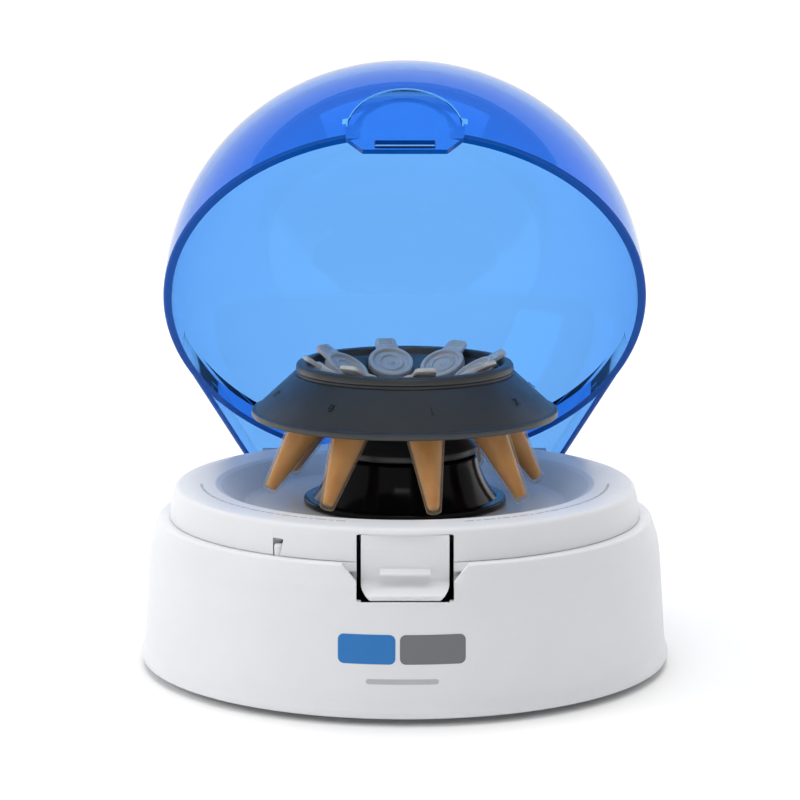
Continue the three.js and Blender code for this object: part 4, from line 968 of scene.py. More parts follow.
    def apron(self, radius: float, foot: float) -> Surface:
        """A short curved wall that hangs under the cover's skirt, behind the notches beside the latch.

        Args:
            radius: The skirt's outer radius.
            foot: Height of the skirt's foot.

        Returns:
            A slab between two arcs, from just above the foot down to the foot of the tab's recess.
        """
        angles = np.linspace(-0.29, 0.29, 25) - math.pi / 2
        z = np.array([foot + 0.6, foot - 3.6])
        layers = []
        for reach in (radius - 0.02, radius - self.cover_wall):
            flat = reach * np.stack([np.cos(angles), np.sin(angles)], -1)
            flat = np.broadcast_to(flat, (2, *flat.shape))
            layers.append(np.concatenate([flat, np.broadcast_to(z[:, None, None], (2, len(angles), 1))], 2))
        return slab_between(*layers)

    def plate(self) -> None:
        """The bottom plate with its vents, screw sinks and board standoffs."""
        lay = self.layout
        low, high = lay.underside_z + GAP, lay.underside_z + 2.5
        outline = lay.plan(self.housing_wall + 1.1 + SLIP, 120, 8)[:, :2]
        piece = make_mesh("base_plate", prism(outline, low, high), self.site)
        board = Extent.of("circuit_board", self.site)
        holes = [board.low.x + 5, board.high.x - 5]
        board_y = board.low.y + 8
        stands = [rod(2.4, low + 1, board.low.z - GAP, "z", (x, board_y)) for x in holes]
        carve(piece, stands, Carve.JOIN, self.site)
        cuts = [prism(rounded_rectangle(3, 28, 1.45, (9.0 * k, 0)), low - 1, high + 1) for k in range(-2, 3)]
        for k in range(4):
            screw = Extent.of(f"base_screw_{k + 1}", self.site)
            place = (screw.centre.x, screw.centre.y)
            cuts.append(rod(self.screw_radius + GAP, low - 1, high + 1, "z", place))
            cuts.append(rod(self.screw_head + GAP, low - 1, low + 1.1, "z", place))
        for node in FOOT_NODES:
            foot = Extent.of(node, self.site)
            cuts.append(rod(2.5, low - 1, high + 1, "z", (foot.centre.x, foot.centre.y)))
        carve(piece, cuts, Carve.CUT, self.site)
        weld(piece, 0.02)
        soften(piece, 0.2, 40.0, 2)
        fit(piece, GREY_SHELL, self.body, "bottom_plate")

    def feet(self) -> None:
        """The rubber feet: a soft disc with a grip groove, on a barbed stem."""
        for node in FOOT_NODES:
            foot = Extent.of(node, self.site)
            radius, top = foot.size.x / 2, foot.high.z
            under = self.layout.underside_z
            section = filleted([
                (0, 0.25, 0), (radius * 0.55, 0.25, 0.3), (radius * 0.62, 0, 0.3), (radius - 0.7, 0, 0.5),
                (radius, 0.7, 0.5), (radius, under, 0.2), (2.2, under, 0.1), (2.2, top - 1.8, 0.1),
                (3.1, top - 1.4, 0.2), (2.2, top, 0.3), (0, top, 0)])
            piece = make_mesh(node.replace("foot", "rubber_foot"), revolved(section, 64).moved(
                foot.centre.x, foot.centre.y), self.site)
            fit(piece, RUBBER, self.body, node)

    def screws(self) -> None:
        """The pan-head screws under the plate, each with a cross recess."""
        for k in range(4):
            node = f"base_screw_{k + 1}"
            screw = Extent.of(node, self.site)
            low, high, head = screw.low.z, screw.high.z, self.screw_head
            section = filleted([
                (0, low, 0), (head - 0.6, low, 0.5), (head, low + 0.6, 0.3), (head, low + 0.9, 0.1),
                (self.screw_radius, low + 0.9, 0.1), (self.screw_radius, high - 1, 0.2), (0, high, 0)])
            piece = make_mesh(f"plate_screw_{k + 1}", revolved(section, 48).moved(
                screw.centre.x, screw.centre.y), self.site)
            x, y = screw.centre.x, screw.centre.y
            cross = [block((x - a, x + a), (y - b, y + b), (low - 1, low + 0.7)) for a, b in ((1.5, 0.3), (0.3, 1.5))]
            carve(piece, cross, Carve.CUT, self.site)
            fit(piece, STEEL, self.body, node)

    def marks(self) -> None:
        """Printed marks: a plain two-tone bar with a pale line under it, and dashes on the top ring."""
        self.front_bar("front_mark_blue", -18.0, -2.6, 16.8, 24.8, PRINT_BLUE)
        self.front_bar("front_mark_grey", -1.4, 16.2, 16.8, 24.8, PRINT_GREY)
        self.front_bar("front_mark_line", -10.5, 9.0, 11.4, 12.8, PRINT_PALE)
        self.ring_dashes()

    def front_bar(self, name: str, x0: float, x1: float, z0: float, z1: float, finish: Finish) -> None:
        """One printed bar with round corners that lies on the housing's front wall.

        Row by row, the bar's half width shrinks near its ends as a circle does, and y follows the wall: the root of the
        wall's radius squared less x squared, a hair further out.

        Args:
            name: Piece name.
            x0: Left end.
            x1: Right end.
            z0: Foot.
            z1: Top.
            finish: Print colour.
        """
        corner = min(1.6, (z1 - z0) / 2)
        spread = np.linspace(-1, 1, 49)[None, :]
        rise = (1 - np.cos(np.linspace(0, math.pi, 25))) / 2
        z = (z0 + (z1 - z0) * rise)[:, None]
        past = np.maximum(np.abs(z - (z0 + z1) / 2) - ((z1 - z0) / 2 - corner), 0)
        half = (x1 - x0) / 2 - corner + np.sqrt(np.maximum(corner ** 2 - past ** 2, 0.01))
        x = (x0 + x1) / 2 + half * spread
        z = np.broadcast_to(z, x.shape)
        layers = []
        for lift in (0.05, -0.1):
            radius = self.layout.base_radius - self.layout.wall_lean(z) + lift
            layers.append(np.stack([x, -np.sqrt(radius ** 2 - x ** 2), z], -1))
        piece = make_mesh(name, slab_between(*layers), self.site)
        fit(piece, finish, self.body)

    def ring_dashes(self) -> None:
        """Short printed dashes in two rows on the top ring, left and right of the latch.

        Each dash is a small slab between two radii and two angles, and the dashes follow each other with even gaps,
        their lengths taken in turn from a short list.
        """
        lengths = np.array([2.6, 1.4, 3.4, 0.9, 2.1, 1.7, 3.0, 1.1])
        middle, height, gap = 58.6, 0.75, 0.75
        made: list[Surface] = []
        for side in Side:
            travel = math.radians(16) * middle
            for k in range(26):
                length = float(lengths[k % len(lengths)])
                angles = -math.pi / 2 + side.value * np.linspace(travel, travel + length, 4) / middle
                radii = np.array([middle - height / 2, middle + height / 2])
                layers = []
                for lift in (0.22, 0.0):
                    flat = radii[:, None, None] * np.stack([np.cos(angles), np.sin(angles)], -1)[None]
                    high = np.full((*flat.shape[:2], 1), self.layout.ring_z + lift)
                    layers.append(np.concatenate([flat, high], -1))
                made.append(slab_between(*layers))
                travel += length + gap
        piece = make_mesh("ring_dashes", made[0].plus(*made[1:]), self.site)
        fit(piece, PRINT_PALE, self.body)


def slab_between(upper: np.ndarray, lower: np.ndarray) -> Surface:
    """Closes two grids of the same shape into one thin slab.

    Args:
        upper: (rows, columns, 3) points of one face.
        lower: The same points on the other face.

    Returns:
        A closed surface.
    """
    rows, columns = upper.shape[:2]
    count = rows * columns
    index = np.arange(count).reshape(rows, columns)
    faces = grid_faces(rows, columns, False, False)
    faces += [tuple(i + count for i in face[::-1]) for face in grid_faces(rows, columns, False, False)]
    edge = np.concatenate([index[0, :-1], index[:-1, -1], index[-1, :0:-1], index[:0:-1, 0]]).tolist()
    faces += [(b, a, a + count, b + count) for a, b in zip(edge, edge[1:] + edge[:1])]
    points = np.concatenate([upper.reshape(-1, 3), lower.reshape(-1, 3)])
    return outward(Surface(points, faces))


FOOT_NODES = ("foot_front_left", "foot_front_right", "foot_rear_left", "foot_rear_right")


# ----------------------------------------------------------------------------------------------------------------------
# Latch and lid switch
# ----------------------------------------------------------------------------------------------------------------------
@dataclass
class FrontLatch:
    """The press tongue between two slots, and the rib of the lid switch."""

    site: Site
    layout: Layout
    wall: float = 2.0
    lip_wall: float = 1.4
    catch_width: float = 13.7
    catch_height: float = 1.7
    catch_depth: float = 2.2

    def build(self) -> None:
        """Builds the tongue, its plunger and the switch under it."""
        self.tongue()
        self.plunger()
        self.switch()

    def tongue(self) -> None:
        """The tongue: a bent section carried across its width, cut to round lower corners, with the catch ridge."""
        latch = Extent.of("front_latch", self.site)
        face, rim = facet_distance(self.layout) - TAB_WALL - 0.76, self.layout.rim_z
        lip, foot, top = -latch.low.y, latch.low.z, latch.high.z
        knee = rim - TAB_DROP - SLIP
        section = filleted([
            (-face + 0.9, top, 0), (-face, rim + 3, 6), (-face, knee, 1.1), (-lip, foot + self.lip_wall, 0.5),
            (-lip, foot, 0.4), (-face - 1, foot + 0.8, 1.5), (-face + self.wall, knee - 2, 3),
            (-face + self.wall, rim + 3, 6), (-face + 0.9 + self.wall, top, 0)], closed=True)
        half = latch.high.x
        piece = make_mesh("latch_tongue", prism(section, -half, half, "x"), self.site)
        catch_foot = rim - TAB_DROP + 1.4 + GAP
        ridge = filleted([
            (-face + 0.5, catch_foot, 0), (-face - self.catch_depth, catch_foot, 0.35),
            (-face - self.catch_depth, catch_foot + 0.6, 0.35), (-face - 0.6, catch_foot + self.catch_height, 0.5),
            (-face + 0.5, catch_foot + self.catch_height, 0)], closed=True)
        carve(piece, [prism(ridge, -self.catch_width / 2, self.catch_width / 2, "x")], Carve.JOIN, self.site)
        outline = filleted([(-half, top + 1, 0), (-half, foot + 2.9, 2.5), (-half + 2.7, foot - 0.2, 2.5),
                            (half - 2.7, foot - 0.2, 2.5), (half, foot + 2.9, 2.5), (half, top + 1, 0)], closed=True)
        keep = prism(outline, -self.layout.base_radius, -face + 9, "y")
        carve(piece, [keep], Carve.KEEP, self.site)
        weld(piece, 0.02)
        soften(piece, 0.3, 38.0, 3)
        fit(piece, WHITE_SHELL, "front_latch", "front_latch")

    def plunger(self) -> None:
        """The switch's rib: a round rod with a domed top."""
        plunger = Extent.of("lid_switch_plunger", self.site)
        radius = plunger.size.x / 2
        low, high = plunger.low.z, plunger.high.z
        section = filleted([(0, low, 0), (radius, low, 0.3), (radius, high, 0.7), (0, high, 0)], steps=8)
        shape = revolved(section, 48).moved(plunger.centre.x, plunger.centre.y)
        fit(make_mesh("switch_rib", shape, self.site), WHITE_SHELL, "lid_switch_plunger", "lid_switch_plunger")

    def switch(self) -> None:
        """The micro switch behind the wall: a case with two contact legs."""
        plunger = Extent.of("lid_switch_plunger", self.site)
        ring = math.hypot(plunger.centre.x, plunger.centre.y)
        top = Extent.of("lid_switch_body", self.site).high.z
        piece = make_mesh("micro_switch", block((-7, 7), (-ring - 2, -ring + 5), (top - 11, top)).turned(
            around_axis(SWITCH_ANGLE)), self.site)
        legs = [block((x - 0.6, x + 0.6), (-ring, -ring + 2), (top - 14, top - 10)).turned(around_axis(SWITCH_ANGLE))
                for x in (-5.0, 5.0)]
        carve(piece, legs, Carve.JOIN, self.site)
        soften(piece, 0.25)
        fit(piece, BLACK_SHELL, "base", "lid_switch_body")


# ----------------------------------------------------------------------------------------------------------------------
# Lid
# ----------------------------------------------------------------------------------------------------------------------
@dataclass
class Lid:
    """The see-through lid with its flat front tab, rear tongue and hinge arms, and the hinge pins."""

    site: Site
    layout: Layout
    height: float = 68.9
    wall: float = 2.5
    squareness: float = 2.2
    tongue_height: float = 8.6
    tongue_wall: float = 2.2
    arm_end: float = 3.3
    sill: float = 1.4
    body: str = "lid"

    def build(self) -> None:
        """Builds the lid and its pins."""
        self.shell()
        self.pins()

    def dome(self, inset: float, foot: float, steps: int = 56, around: int = 176, rim_fillet: float = 0.0) -> Surface:
        """The dome's outside, or its inside when drawn in, closed by a flat foot.

        The section is r = R cos(t)^(2/n) and z = H sin(t)^(2/n), where n is the squareness.

        Args:
            inset: Distance inwards.
            foot: Height of the dome's foot.
            steps: Points up the section.
            around: Segments around.
            rim_fillet: Rounding of the foot's edge.

        Returns:
            A closed surface.
        """
        t = np.linspace(0, math.pi / 2, steps)
        power = 2 / self.squareness
        r = (self.layout.lid_radius - inset) * np.cos(t) ** power
        z = self.layout.rim_z + (self.height - inset) * np.sin(t) ** power
        r[-1] = 0
        rim = r[0]
        if rim_fillet > 0:
            bend = np.linspace(0, math.pi / 2, 5)
            edge = np.stack([rim - rim_fillet * (1 - np.sin(bend)), foot + rim_fillet * (1 - np.cos(bend))], 1)
            above = z > foot + rim_fillet * 1.3
            start = np.concatenate([[[0, foot]], edge])
            return revolved(np.concatenate([start, np.stack([r, z], 1)[above]]), around)
        start = np.array([[0, foot], [rim, foot]])
        skip = 1 if foot >= self.layout.rim_z else 0
        return revolved(np.concatenate([start, np.stack([r, z], 1)[skip:]]), around)

    def shell(self) -> None:
        """The lid, worked out closed and then turned open about the hinge."""
        lay, site = self.layout, self.site
        rim, top = lay.rim_z, lay.rim_z + self.height + 10
        facet = facet_distance(lay)
        hollow = make_mesh("lid_hollow", self.dome(self.wall, rim - 4), site)
        carve(hollow, [block((-100, 100), (-facet + TAB_WALL, 120), (rim - 20, top))], Carve.KEEP, site)
        piece = make_mesh("blue_lid", self.dome(0, rim, rim_fillet=0.7), site)
        carve(piece, [block((-100, 100), (-facet, 120), (rim - 20, top))], Carve.KEEP, site)
        tongue = self.tongue()
        join_object(piece, tongue, Carve.JOIN)
        join_object(piece, hollow, Carve.CUT)
        tab = prism(lay.tab_outline(0, TAB_WIDTH - 0.02, TAB_FOOT_WIDTH, TAB_DROP), -facet + 0.003, -facet + TAB_WALL, "y")
        carve(piece, [tab], Carve.JOIN, site)
        sill_z = rim - TAB_DROP + self.sill
        window = rounded_rectangle(13.7 + 3.2, 1.7 + 2 * GAP, 0.5, (0, sill_z + 0.85 + GAP))
        carve(piece, [prism(window, -lay.base_radius, -facet + TAB_WALL + 1, "y")], Carve.CUT, site)
        carve(piece, [self.arch_bead(facet)], Carve.JOIN, site)
        weld(piece, 0.03)
        soften(piece, 0.3, 30.0, 2)
        # Faces of the rim and the tab's sides get painted shade, faces of the bead a painted highlight.
        edges = self.painted_light_faces(piece, facet)
        self.open_up(piece)
        fit(piece, LID_BLUE, self.body, "lid", angle_deg=11)
        # Material slot 1 holds the painted shade of the rim, slot 2 the painted highlight of the bead.
        for finish in (LID_RIM_PAINTED_SHADE, LID_BEAD_PAINTED_HIGHLIGHT):
            piece.data.materials.append(bpy.data.materials.get(finish.name) or finish.build())
        piece.data.polygons.foreach_set("material_index", edges)

    def painted_light_faces(self, piece: bpy.types.Object, facet: float) -> np.ndarray:
        """Picks out the faces that get painted light: the closed lid's cut edges, which look deeper, get painted shade,
        and the bead's line, which looks lighter, gets a painted highlight.

        Args:
            piece: The closed lid.
            facet: Distance of the flat front from the rotor axis.

        Returns:
            One number per face: 1 on the rim and the tab's sides (painted shade), 2 on the bead (painted highlight), 0
                elsewhere.
        """
        faces = piece.data.polygons
        centre, normal = np.empty(len(faces) * 3), np.empty(len(faces) * 3)
        faces.foreach_get("center", centre)
        faces.foreach_get("normal", normal)
        middle = (centre.reshape(-1, 3) - np.array(self.site.axis)) / MM
        away, rim = normal.reshape(-1, 3), self.layout.rim_z
        # Rim and tab faces: painted shade.
        on_rim = (middle[:, 2] < rim + 0.68) & (away[:, 2] < -0.15) & (middle[:, 2] > rim - 0.1)
        on_tab = (middle[:, 2] < rim + 0.2) & (np.abs(away[:, 1]) < 0.6) & (middle[:, 1] < -60)
        share = np.minimum(np.hypot(middle[:, 0], facet) / self.layout.lid_radius, 1)
        arch = rim + self.height * (1 - share ** self.squareness) ** (1 / self.squareness)
        flat_way = np.hypot(middle[:, 1] + facet, 0)
        near = np.minimum(np.abs(middle[:, 2] - arch), np.abs(np.abs(middle[:, 0]) - TAB_WIDTH / 2 + 0.25))
        # Bead faces: painted highlight.
        on_bead = (flat_way < 0.3) & (near < 0.32) & (middle[:, 2] > rim + 0.7) & (np.abs(away[:, 1]) < 0.995)
        on_bead &= np.abs(middle[:, 0]) < TAB_WIDTH / 2 + 0.1
        return np.where(on_bead, 2, np.where(on_rim | on_tab, 1, 0)).astype(np.int32)

    def tongue(self) -> bpy.types.Object:
        """The hollow rear tongue with its arm ends, as a solid for joining to the dome.

        Returns:
            An object to be joined and removed.
        """
        lay, site = self.layout, self.site
        rim, inset = lay.rim_z, lay.base_radius - lay.lid_radius
        rear = lay.hinge_y + self.arm_end
        outside = lay.plan(inset, 120, 12)[:, :2]
        inside = lay.plan(inset + self.tongue_wall, 120, 12)[:, :2]
        piece = make_mesh("lid_tongue", prism(outside, rim, rim + self.tongue_height), site)
        soften(piece, 1.2, 60.0, 4)
        carve(piece, [block((-80, 80), (20, rear), (rim - 10, rim + 40))], Carve.KEEP, site)
        carve(piece, [prism(inside, rim - 1, rim + self.tongue_height - self.tongue_wall),
                      block((-80, 80), (lay.hinge_y, rear + 1), (rim - 1, lay.hinge_z))], Carve.CUT, site)
        for side in Side:
            low, high = sorted((side.value * (self.flank_x(self.tongue_wall) - 2.5), side.value * (self.flank_x(0) + 2.5)))
            end = make_mesh("arm_end", rod(self.arm_end, low, high, "x", (lay.hinge_y, lay.hinge_z), 48), site)
            band = [prism(outside, rim - 8, rim + self.tongue_height)]
            carve(end, band, Carve.KEEP, site)
            carve(end, [prism(inside, rim - 9, rim + self.tongue_height + 1)], Carve.CUT, site)
            join_object(piece, end, Carve.JOIN)
            low, high = sorted((side.value * (34 - SLIP), side.value * (44.2 + SLIP)))
            near, far = sorted((side.value * 44, side.value * (self.flank_x(0) + 2)))
            carve(piece, [rod(3.6 + SLIP, low, high, "x", (lay.hinge_y, lay.hinge_z), 48),
                          rod(PIN_RADIUS + GAP, near, far, "x", (lay.hinge_y, lay.hinge_z))], Carve.CUT, site)
        carve(piece, [self.dome(self.wall / 2, rim - 2, 40, 120)], Carve.CUT, site)
        return piece

    def arch_bead(self, facet: float, radius: float = 0.26) -> Surface:
        """A fine bead on the arch where the flat front leaves the dome.

        At x the arch stands at H (1 - (r/R)^n)^(1/n) above the rim, where r is the root of x squared and the flat's
        distance squared. The bead's circle is carried along it, square to its direction.

        Args:
            facet: Distance of the flat front from the rotor axis.
            radius: The bead's radius.

        Returns:
            A closed rod.
        """
        half, n = TAB_WIDTH / 2 - 0.25, self.squareness
        x = -half * np.cos(np.linspace(0, math.pi, 61))
        share = np.hypot(x, facet) / self.layout.lid_radius
        z = self.layout.rim_z + self.height * np.maximum(1 - share ** n, 0) ** (1 / n)
        along = np.stack([np.gradient(x), np.gradient(z)], 1)
        along /= np.linalg.norm(along, axis=1)[:, None]
        turn = np.linspace(0, 2 * math.pi, 9)[:-1]
        out_x, out_z = -along[:, 1:] * np.cos(turn), along[:, :1] * np.cos(turn)
        y = np.broadcast_to(-facet + radius * np.sin(turn), out_x.shape)
        return lofted(np.stack([x[:, None] + radius * out_x, y, z[:, None] + radius * out_z], -1))

    def flank_x(self, inset: float) -> float:
        """Distance from the middle to the tongue's flank at the hinge, drawn in by an inset."""
        lay = self.layout
        return (lay.lid_radius - inset - lay.hinge_y * math.sin(lay.flank)) / math.cos(lay.flank)

    def open_up(self, piece: bpy.types.Object) -> None:
        """Turns a piece's points from the closed lid to the open lid."""
        count = len(piece.data.vertices)
        flat = np.empty(count * 3)
        piece.data.vertices.foreach_get("co", flat)
        piece.data.vertices.foreach_set("co", self.site.opened(flat.reshape(-1, 3)).ravel())
        piece.data.update()

    def pins(self) -> None:
        """The two hinge pins, with rounded ends."""
        for side, node in ((Side.LEFT, "hinge_pin_left"), (Side.RIGHT, "hinge_pin_right")):
            pin = Extent.of(node, self.site)
            section = filleted([(0, pin.low.x, 0), (PIN_RADIUS, pin.low.x, 0.3), (PIN_RADIUS, pin.high.x, 0.3),
                                (0, pin.high.x, 0)])
            lying = revolved(section, 32).turned(Matrix.Rotation(math.pi / 2, 4, "Y"))
            shape = lying.moved(0, self.layout.hinge_y, self.layout.hinge_z)
            fit(make_mesh(f"pin_{side.name.lower()}", shape, self.site), STEEL, "base", node)


def join_object(piece: bpy.types.Object, helper: bpy.types.Object, how: Carve) -> None:
    """Applies another object to a piece and removes it."""
    step = piece.modifiers.new("carve", "BOOLEAN")
    step.operation, step.solver, step.object = how.value, "EXACT", helper
    settle(piece)
    shape = helper.data
    bpy.data.objects.remove(helper)
    bpy.data.meshes.remove(shape)


# ----------------------------------------------------------------------------------------------------------------------
# Rotor and pedestal
# ----------------------------------------------------------------------------------------------------------------------
@dataclass
class TubePlaces:
    """Where the eight tubes stand in the rotor, measured along a tube from the top of its cap."""

    site: Site
    layout: Layout
    tilt: float = math.radians(31)
    length: float = 39.5
    tip_radius: float = 39.9
    tip_clearance: float = 4.8
    count: int = 8
    first: float = math.radians(11.7)
    tube_radius: float = 5.35
    flange_radius: float = 6.4
    seat: float = 4.4
    spot_depth: float = 0.6

    def along(self, s: float) -> tuple[float, float]:
        """Radius and height of the point at a distance down the tube's axis."""
        tip_z = self.layout.ring_z - 6.1 + self.tip_clearance
        rest = self.length - s
        return self.tip_radius - rest * math.sin(self.tilt), tip_z + rest * math.cos(self.tilt)

    def angle(self, i: int) -> float:
        """Angle of a place around the rotor, from the front."""
        return self.first + i * 2 * math.pi / self.count

    def carry(self, surface: Surface, i: int) -> Surface:
        """Carries a shape drawn about Z, its cap's top at the origin, to a place."""
        r, z = self.along(0)
        place = around_axis(self.angle(i)) @ Matrix.Translation((0, -r, z)) @ Matrix.Rotation(-self.tilt, 4, "X")
        return surface.turned(place)

    def cone(self, r: float) -> float:
        """Height at a radius of the cone that the tube seats lie on."""
        seat_r, seat_z = self.along(self.seat - self.spot_depth)
        return seat_z + (r - seat_r) * math.tan(self.tilt)


@dataclass
class Rotor:
    """The angle rotor, its bush, lock nut and shaft, and the pedestal under it."""

    site: Site
    layout: Layout
    places: TubePlaces
    skirt_wall: float = 2.9
    rim_height: float = 1.9
    hub_radius: float = 21.0
    waist: float = 14.0
    boss: float = 9.5
    bush: float = 6.0
    body: str = "rotor"

    def build(self) -> None:
        """Builds the rotor's pieces and the pedestal."""
        self.cone_body()
        self.numerals()
        self.nut()
        self.bush_ring()
        self.pedestal()

    def cone_body(self) -> None:
        """The rotor: bowl, bead, skirt and hub turned as one section, with eight bores and spot faces."""
        box = Extent.of("rotor", self.site)
        radius, top, bottom = box.high.x, box.high.z, box.low.z
        rim = top - 3.1 - 10.5
        bead, bowl, foot = radius - 12.8, radius - 16.2, top - 3.1
        seat = self.places.cone
        slope = (foot - 0.4 - rim) / (bead + 0.6 - (radius - 0.5))
        under = rim + (bead - 0.6 - (radius - 0.5)) * slope - self.skirt_wall
        rim_foot = rim - self.rim_height
        section = filleted([
            (self.bush + GAP, bottom, 0.2), (self.hub_radius, bottom, 0.7), (self.hub_radius - 0.2, bottom + 2, 0.9),
            (self.hub_radius - 2.4, bottom + 4.2, 2.5), (self.waist, bottom + 10, 5),
            (self.waist, seat(self.waist) - 3, 1), (bowl, seat(bowl) - 3, 1), (bead - 0.6, under, 1),
            (radius - 1.7, rim_foot + 0.35, 0.5), (radius - 1.2, rim_foot, 0.3), (radius, rim_foot, 0.55),
            (radius, rim, 0.5), (radius - 1.1, rim + 0.12, 0.4), (bead + 0.75, foot - 0.3, 0.35),
            (bead - 0.35, foot - 0.25, 0.3), (bead - 0.3, foot + 0.45, 0.3), (bead + 0.1, foot + 0.9, 0.7),
            (bead - 0.1, top - 0.3, 1.2), (bead - 1.6, top, 1.2), (bowl + 0.4, top - 0.2, 0.9),
            (bowl, seat(bowl), 0.5), (self.waist, seat(self.waist), 1.2), (self.boss, seat(self.waist) - 1.4, 1.0),
            (self.boss, top - 8.7, 0.5), (self.bush + GAP, top - 8.7, 0.2)], closed=True)
        piece = make_mesh("rotor_cone", revolved(section, 192, closed=True), self.site)
        seat_s = self.places.seat
        bores = []
        for i in range(self.places.count):
            for reach, low in ((self.places.tube_radius + GAP, -seat_s - 9), (self.places.flange_radius + SLIP, -seat_s)):
                bores.append(self.places.carry(rod(reach, low, -seat_s + 4, "z", (0, 0), 40), i))
        carve(piece, bores, Carve.CUT, self.site)
        weld(piece, 0.02)
        soften(piece, 0.18, 42.0, 2)
        fit(piece, ROTOR_FACE, self.body, "rotor")

    def numerals(self) -> None:
        """Raised numerals 1 to 8 on the skirt, one over each tube, lying on the cone's slope."""
        box = Extent.of("rotor", self.site)
        radius, top = box.high.x, box.high.z
        middle_r, middle_z = radius - 6.4, top - 3.1 - 5.1
        slope = math.atan2(10.1, 12.1)
        for i in range(self.places.count):
            text = bpy.data.curves.new("numeral", "FONT")
            text.body, text.size, text.extrude, text.resolution_u = str(i + 1), 3.6 * MM, 0.1 * MM, 4
            text.align_x, text.align_y = "CENTER", "CENTER"
            letter = bpy.data.objects.new("numeral", text)
            bpy.context.scene.collection.objects.link(letter)
            bpy.context.view_layer.update()
            mesh = bpy.data.meshes.new_from_object(letter.evaluated_get(bpy.context.evaluated_depsgraph_get()))
            lying = (Matrix.Translation(self.site.axis) @ around_axis(self.places.angle(i))
                     @ Matrix.Translation((0, -middle_r * MM, middle_z * MM)) @ Matrix.Rotation(slope, 4, "X"))
            mesh.transform(lying)
            bpy.data.objects.remove(letter)
            bpy.data.curves.remove(text)
            piece = bpy.data.objects.new(f"numeral_{i + 1}", mesh)
            bpy.context.scene.collection.objects.link(piece)
            weld(piece, 0.005)
            fit(piece, ROTOR_FACE, self.body)

    def nut(self) -> None:
        """The lock nut: a domed cap whose side waves in and out around it.

        The radius is the nut's radius less a flute that deepens by the eighth power of a cosine of eight times the
        angle.
        """
        box = Extent.of("rotor_lock_nut", self.site)
        radius, low, high = 7.4, box.low.z, box.high.z
        roof, hole = high - 1.0, 2.8
        section = filleted([
            (0, roof, 0), (hole, roof, 0.2), (hole, low, 0.2), (radius, low, 0.4), (radius, high - 0.9, 0.6),
            (radius - 1.2, high, 0.7), (4.0, high, 0.3), (3.4, high - 0.35, 0.2), (0, high - 0.35, 0)])
        shape = revolved(section, 160)
        angle = np.arctan2(shape.points[:, 1], shape.points[:, 0])
        reach = np.hypot(shape.points[:, 0], shape.points[:, 1])
        outer = np.clip((reach - 5.2) / 1.4, 0, 1)
        flute = 0.75 * np.abs(np.cos(angle * 4)) ** 8 * outer
        scale = np.where(reach > 1e-6, (reach - flute) / np.maximum(reach, 1e-6), 1)
        shape.points[:, :2] *= scale[:, None]
        fit(make_mesh("nut_cap", shape, self.site), BLACK_SHELL, self.body, "rotor_lock_nut")

    def bush_ring(self) -> None:
        """The rotor's bush and the drive shaft through it, turned finely."""
        bush = Extent.of("rotor_bush", self.site)
        section = filleted([(2.8, bush.low.z, 0.3), (self.bush, bush.low.z, 0.3), (self.bush, bush.high.z, 0.3),
                            (2.8, bush.high.z, 0.3)], closed=True)
        fit(make_mesh("bush_sleeve", revolved(section, 96, closed=True), self.site), BRASS, self.body, "rotor_bush")
        shaft = Extent.of("drive_shaft", self.site)
        section = filleted([(0, shaft.low.z, 0), (2.5, shaft.low.z, 0.3), (2.5, shaft.high.z, 0.6),
                            (0, shaft.high.z, 0)])
        fit(make_mesh("shaft_rod", revolved(section, 64), self.site), STEEL, self.body, "drive_shaft")

    def pedestal(self) -> None:
        """The glossy pedestal: a flat flange and a flare that narrows upwards to a rounded top.

        The flare's radius is the top radius plus a share of the flange that falls with the height to the power 2.2.
        """
        box = Extent.of("motor_shroud", self.site)
        flange, low, high = box.high.x, box.low.z, box.high.z
        top = flange - 8.2
        t = np.linspace(0.14, 0.93, 26)
        flare = np.stack([top + (flange - 2.4 - top) * (1 - t) ** 2.2 + 1.6 * (1 - t), low + t * (high - low)], 1)
        foot = filleted([(flange - 3.8, low, 0), (flange, low, 0.5), (flange, low + 1.9, 0.8),
                         (flare[0, 0] + 1.2, low + 1.9, 0.6), tuple([*flare[0], 0])])
        crown = filleted([(*flare[-1], 0), (top, high, 0.7), (8.0, high, 0.3), (8.0, high - 2, 0.2),
                          (flare[-1, 0] - 2, high - 2, 0)])
        inside = flare[::-1][4:] - np.array([2.0, 0.0])
        section = np.concatenate([foot[:-1], flare[:-1], crown, inside])
        fit(make_mesh("pedestal", revolved(section, 192, closed=True), self.site), PEDESTAL_FACE, "base",
            "motor_shroud")


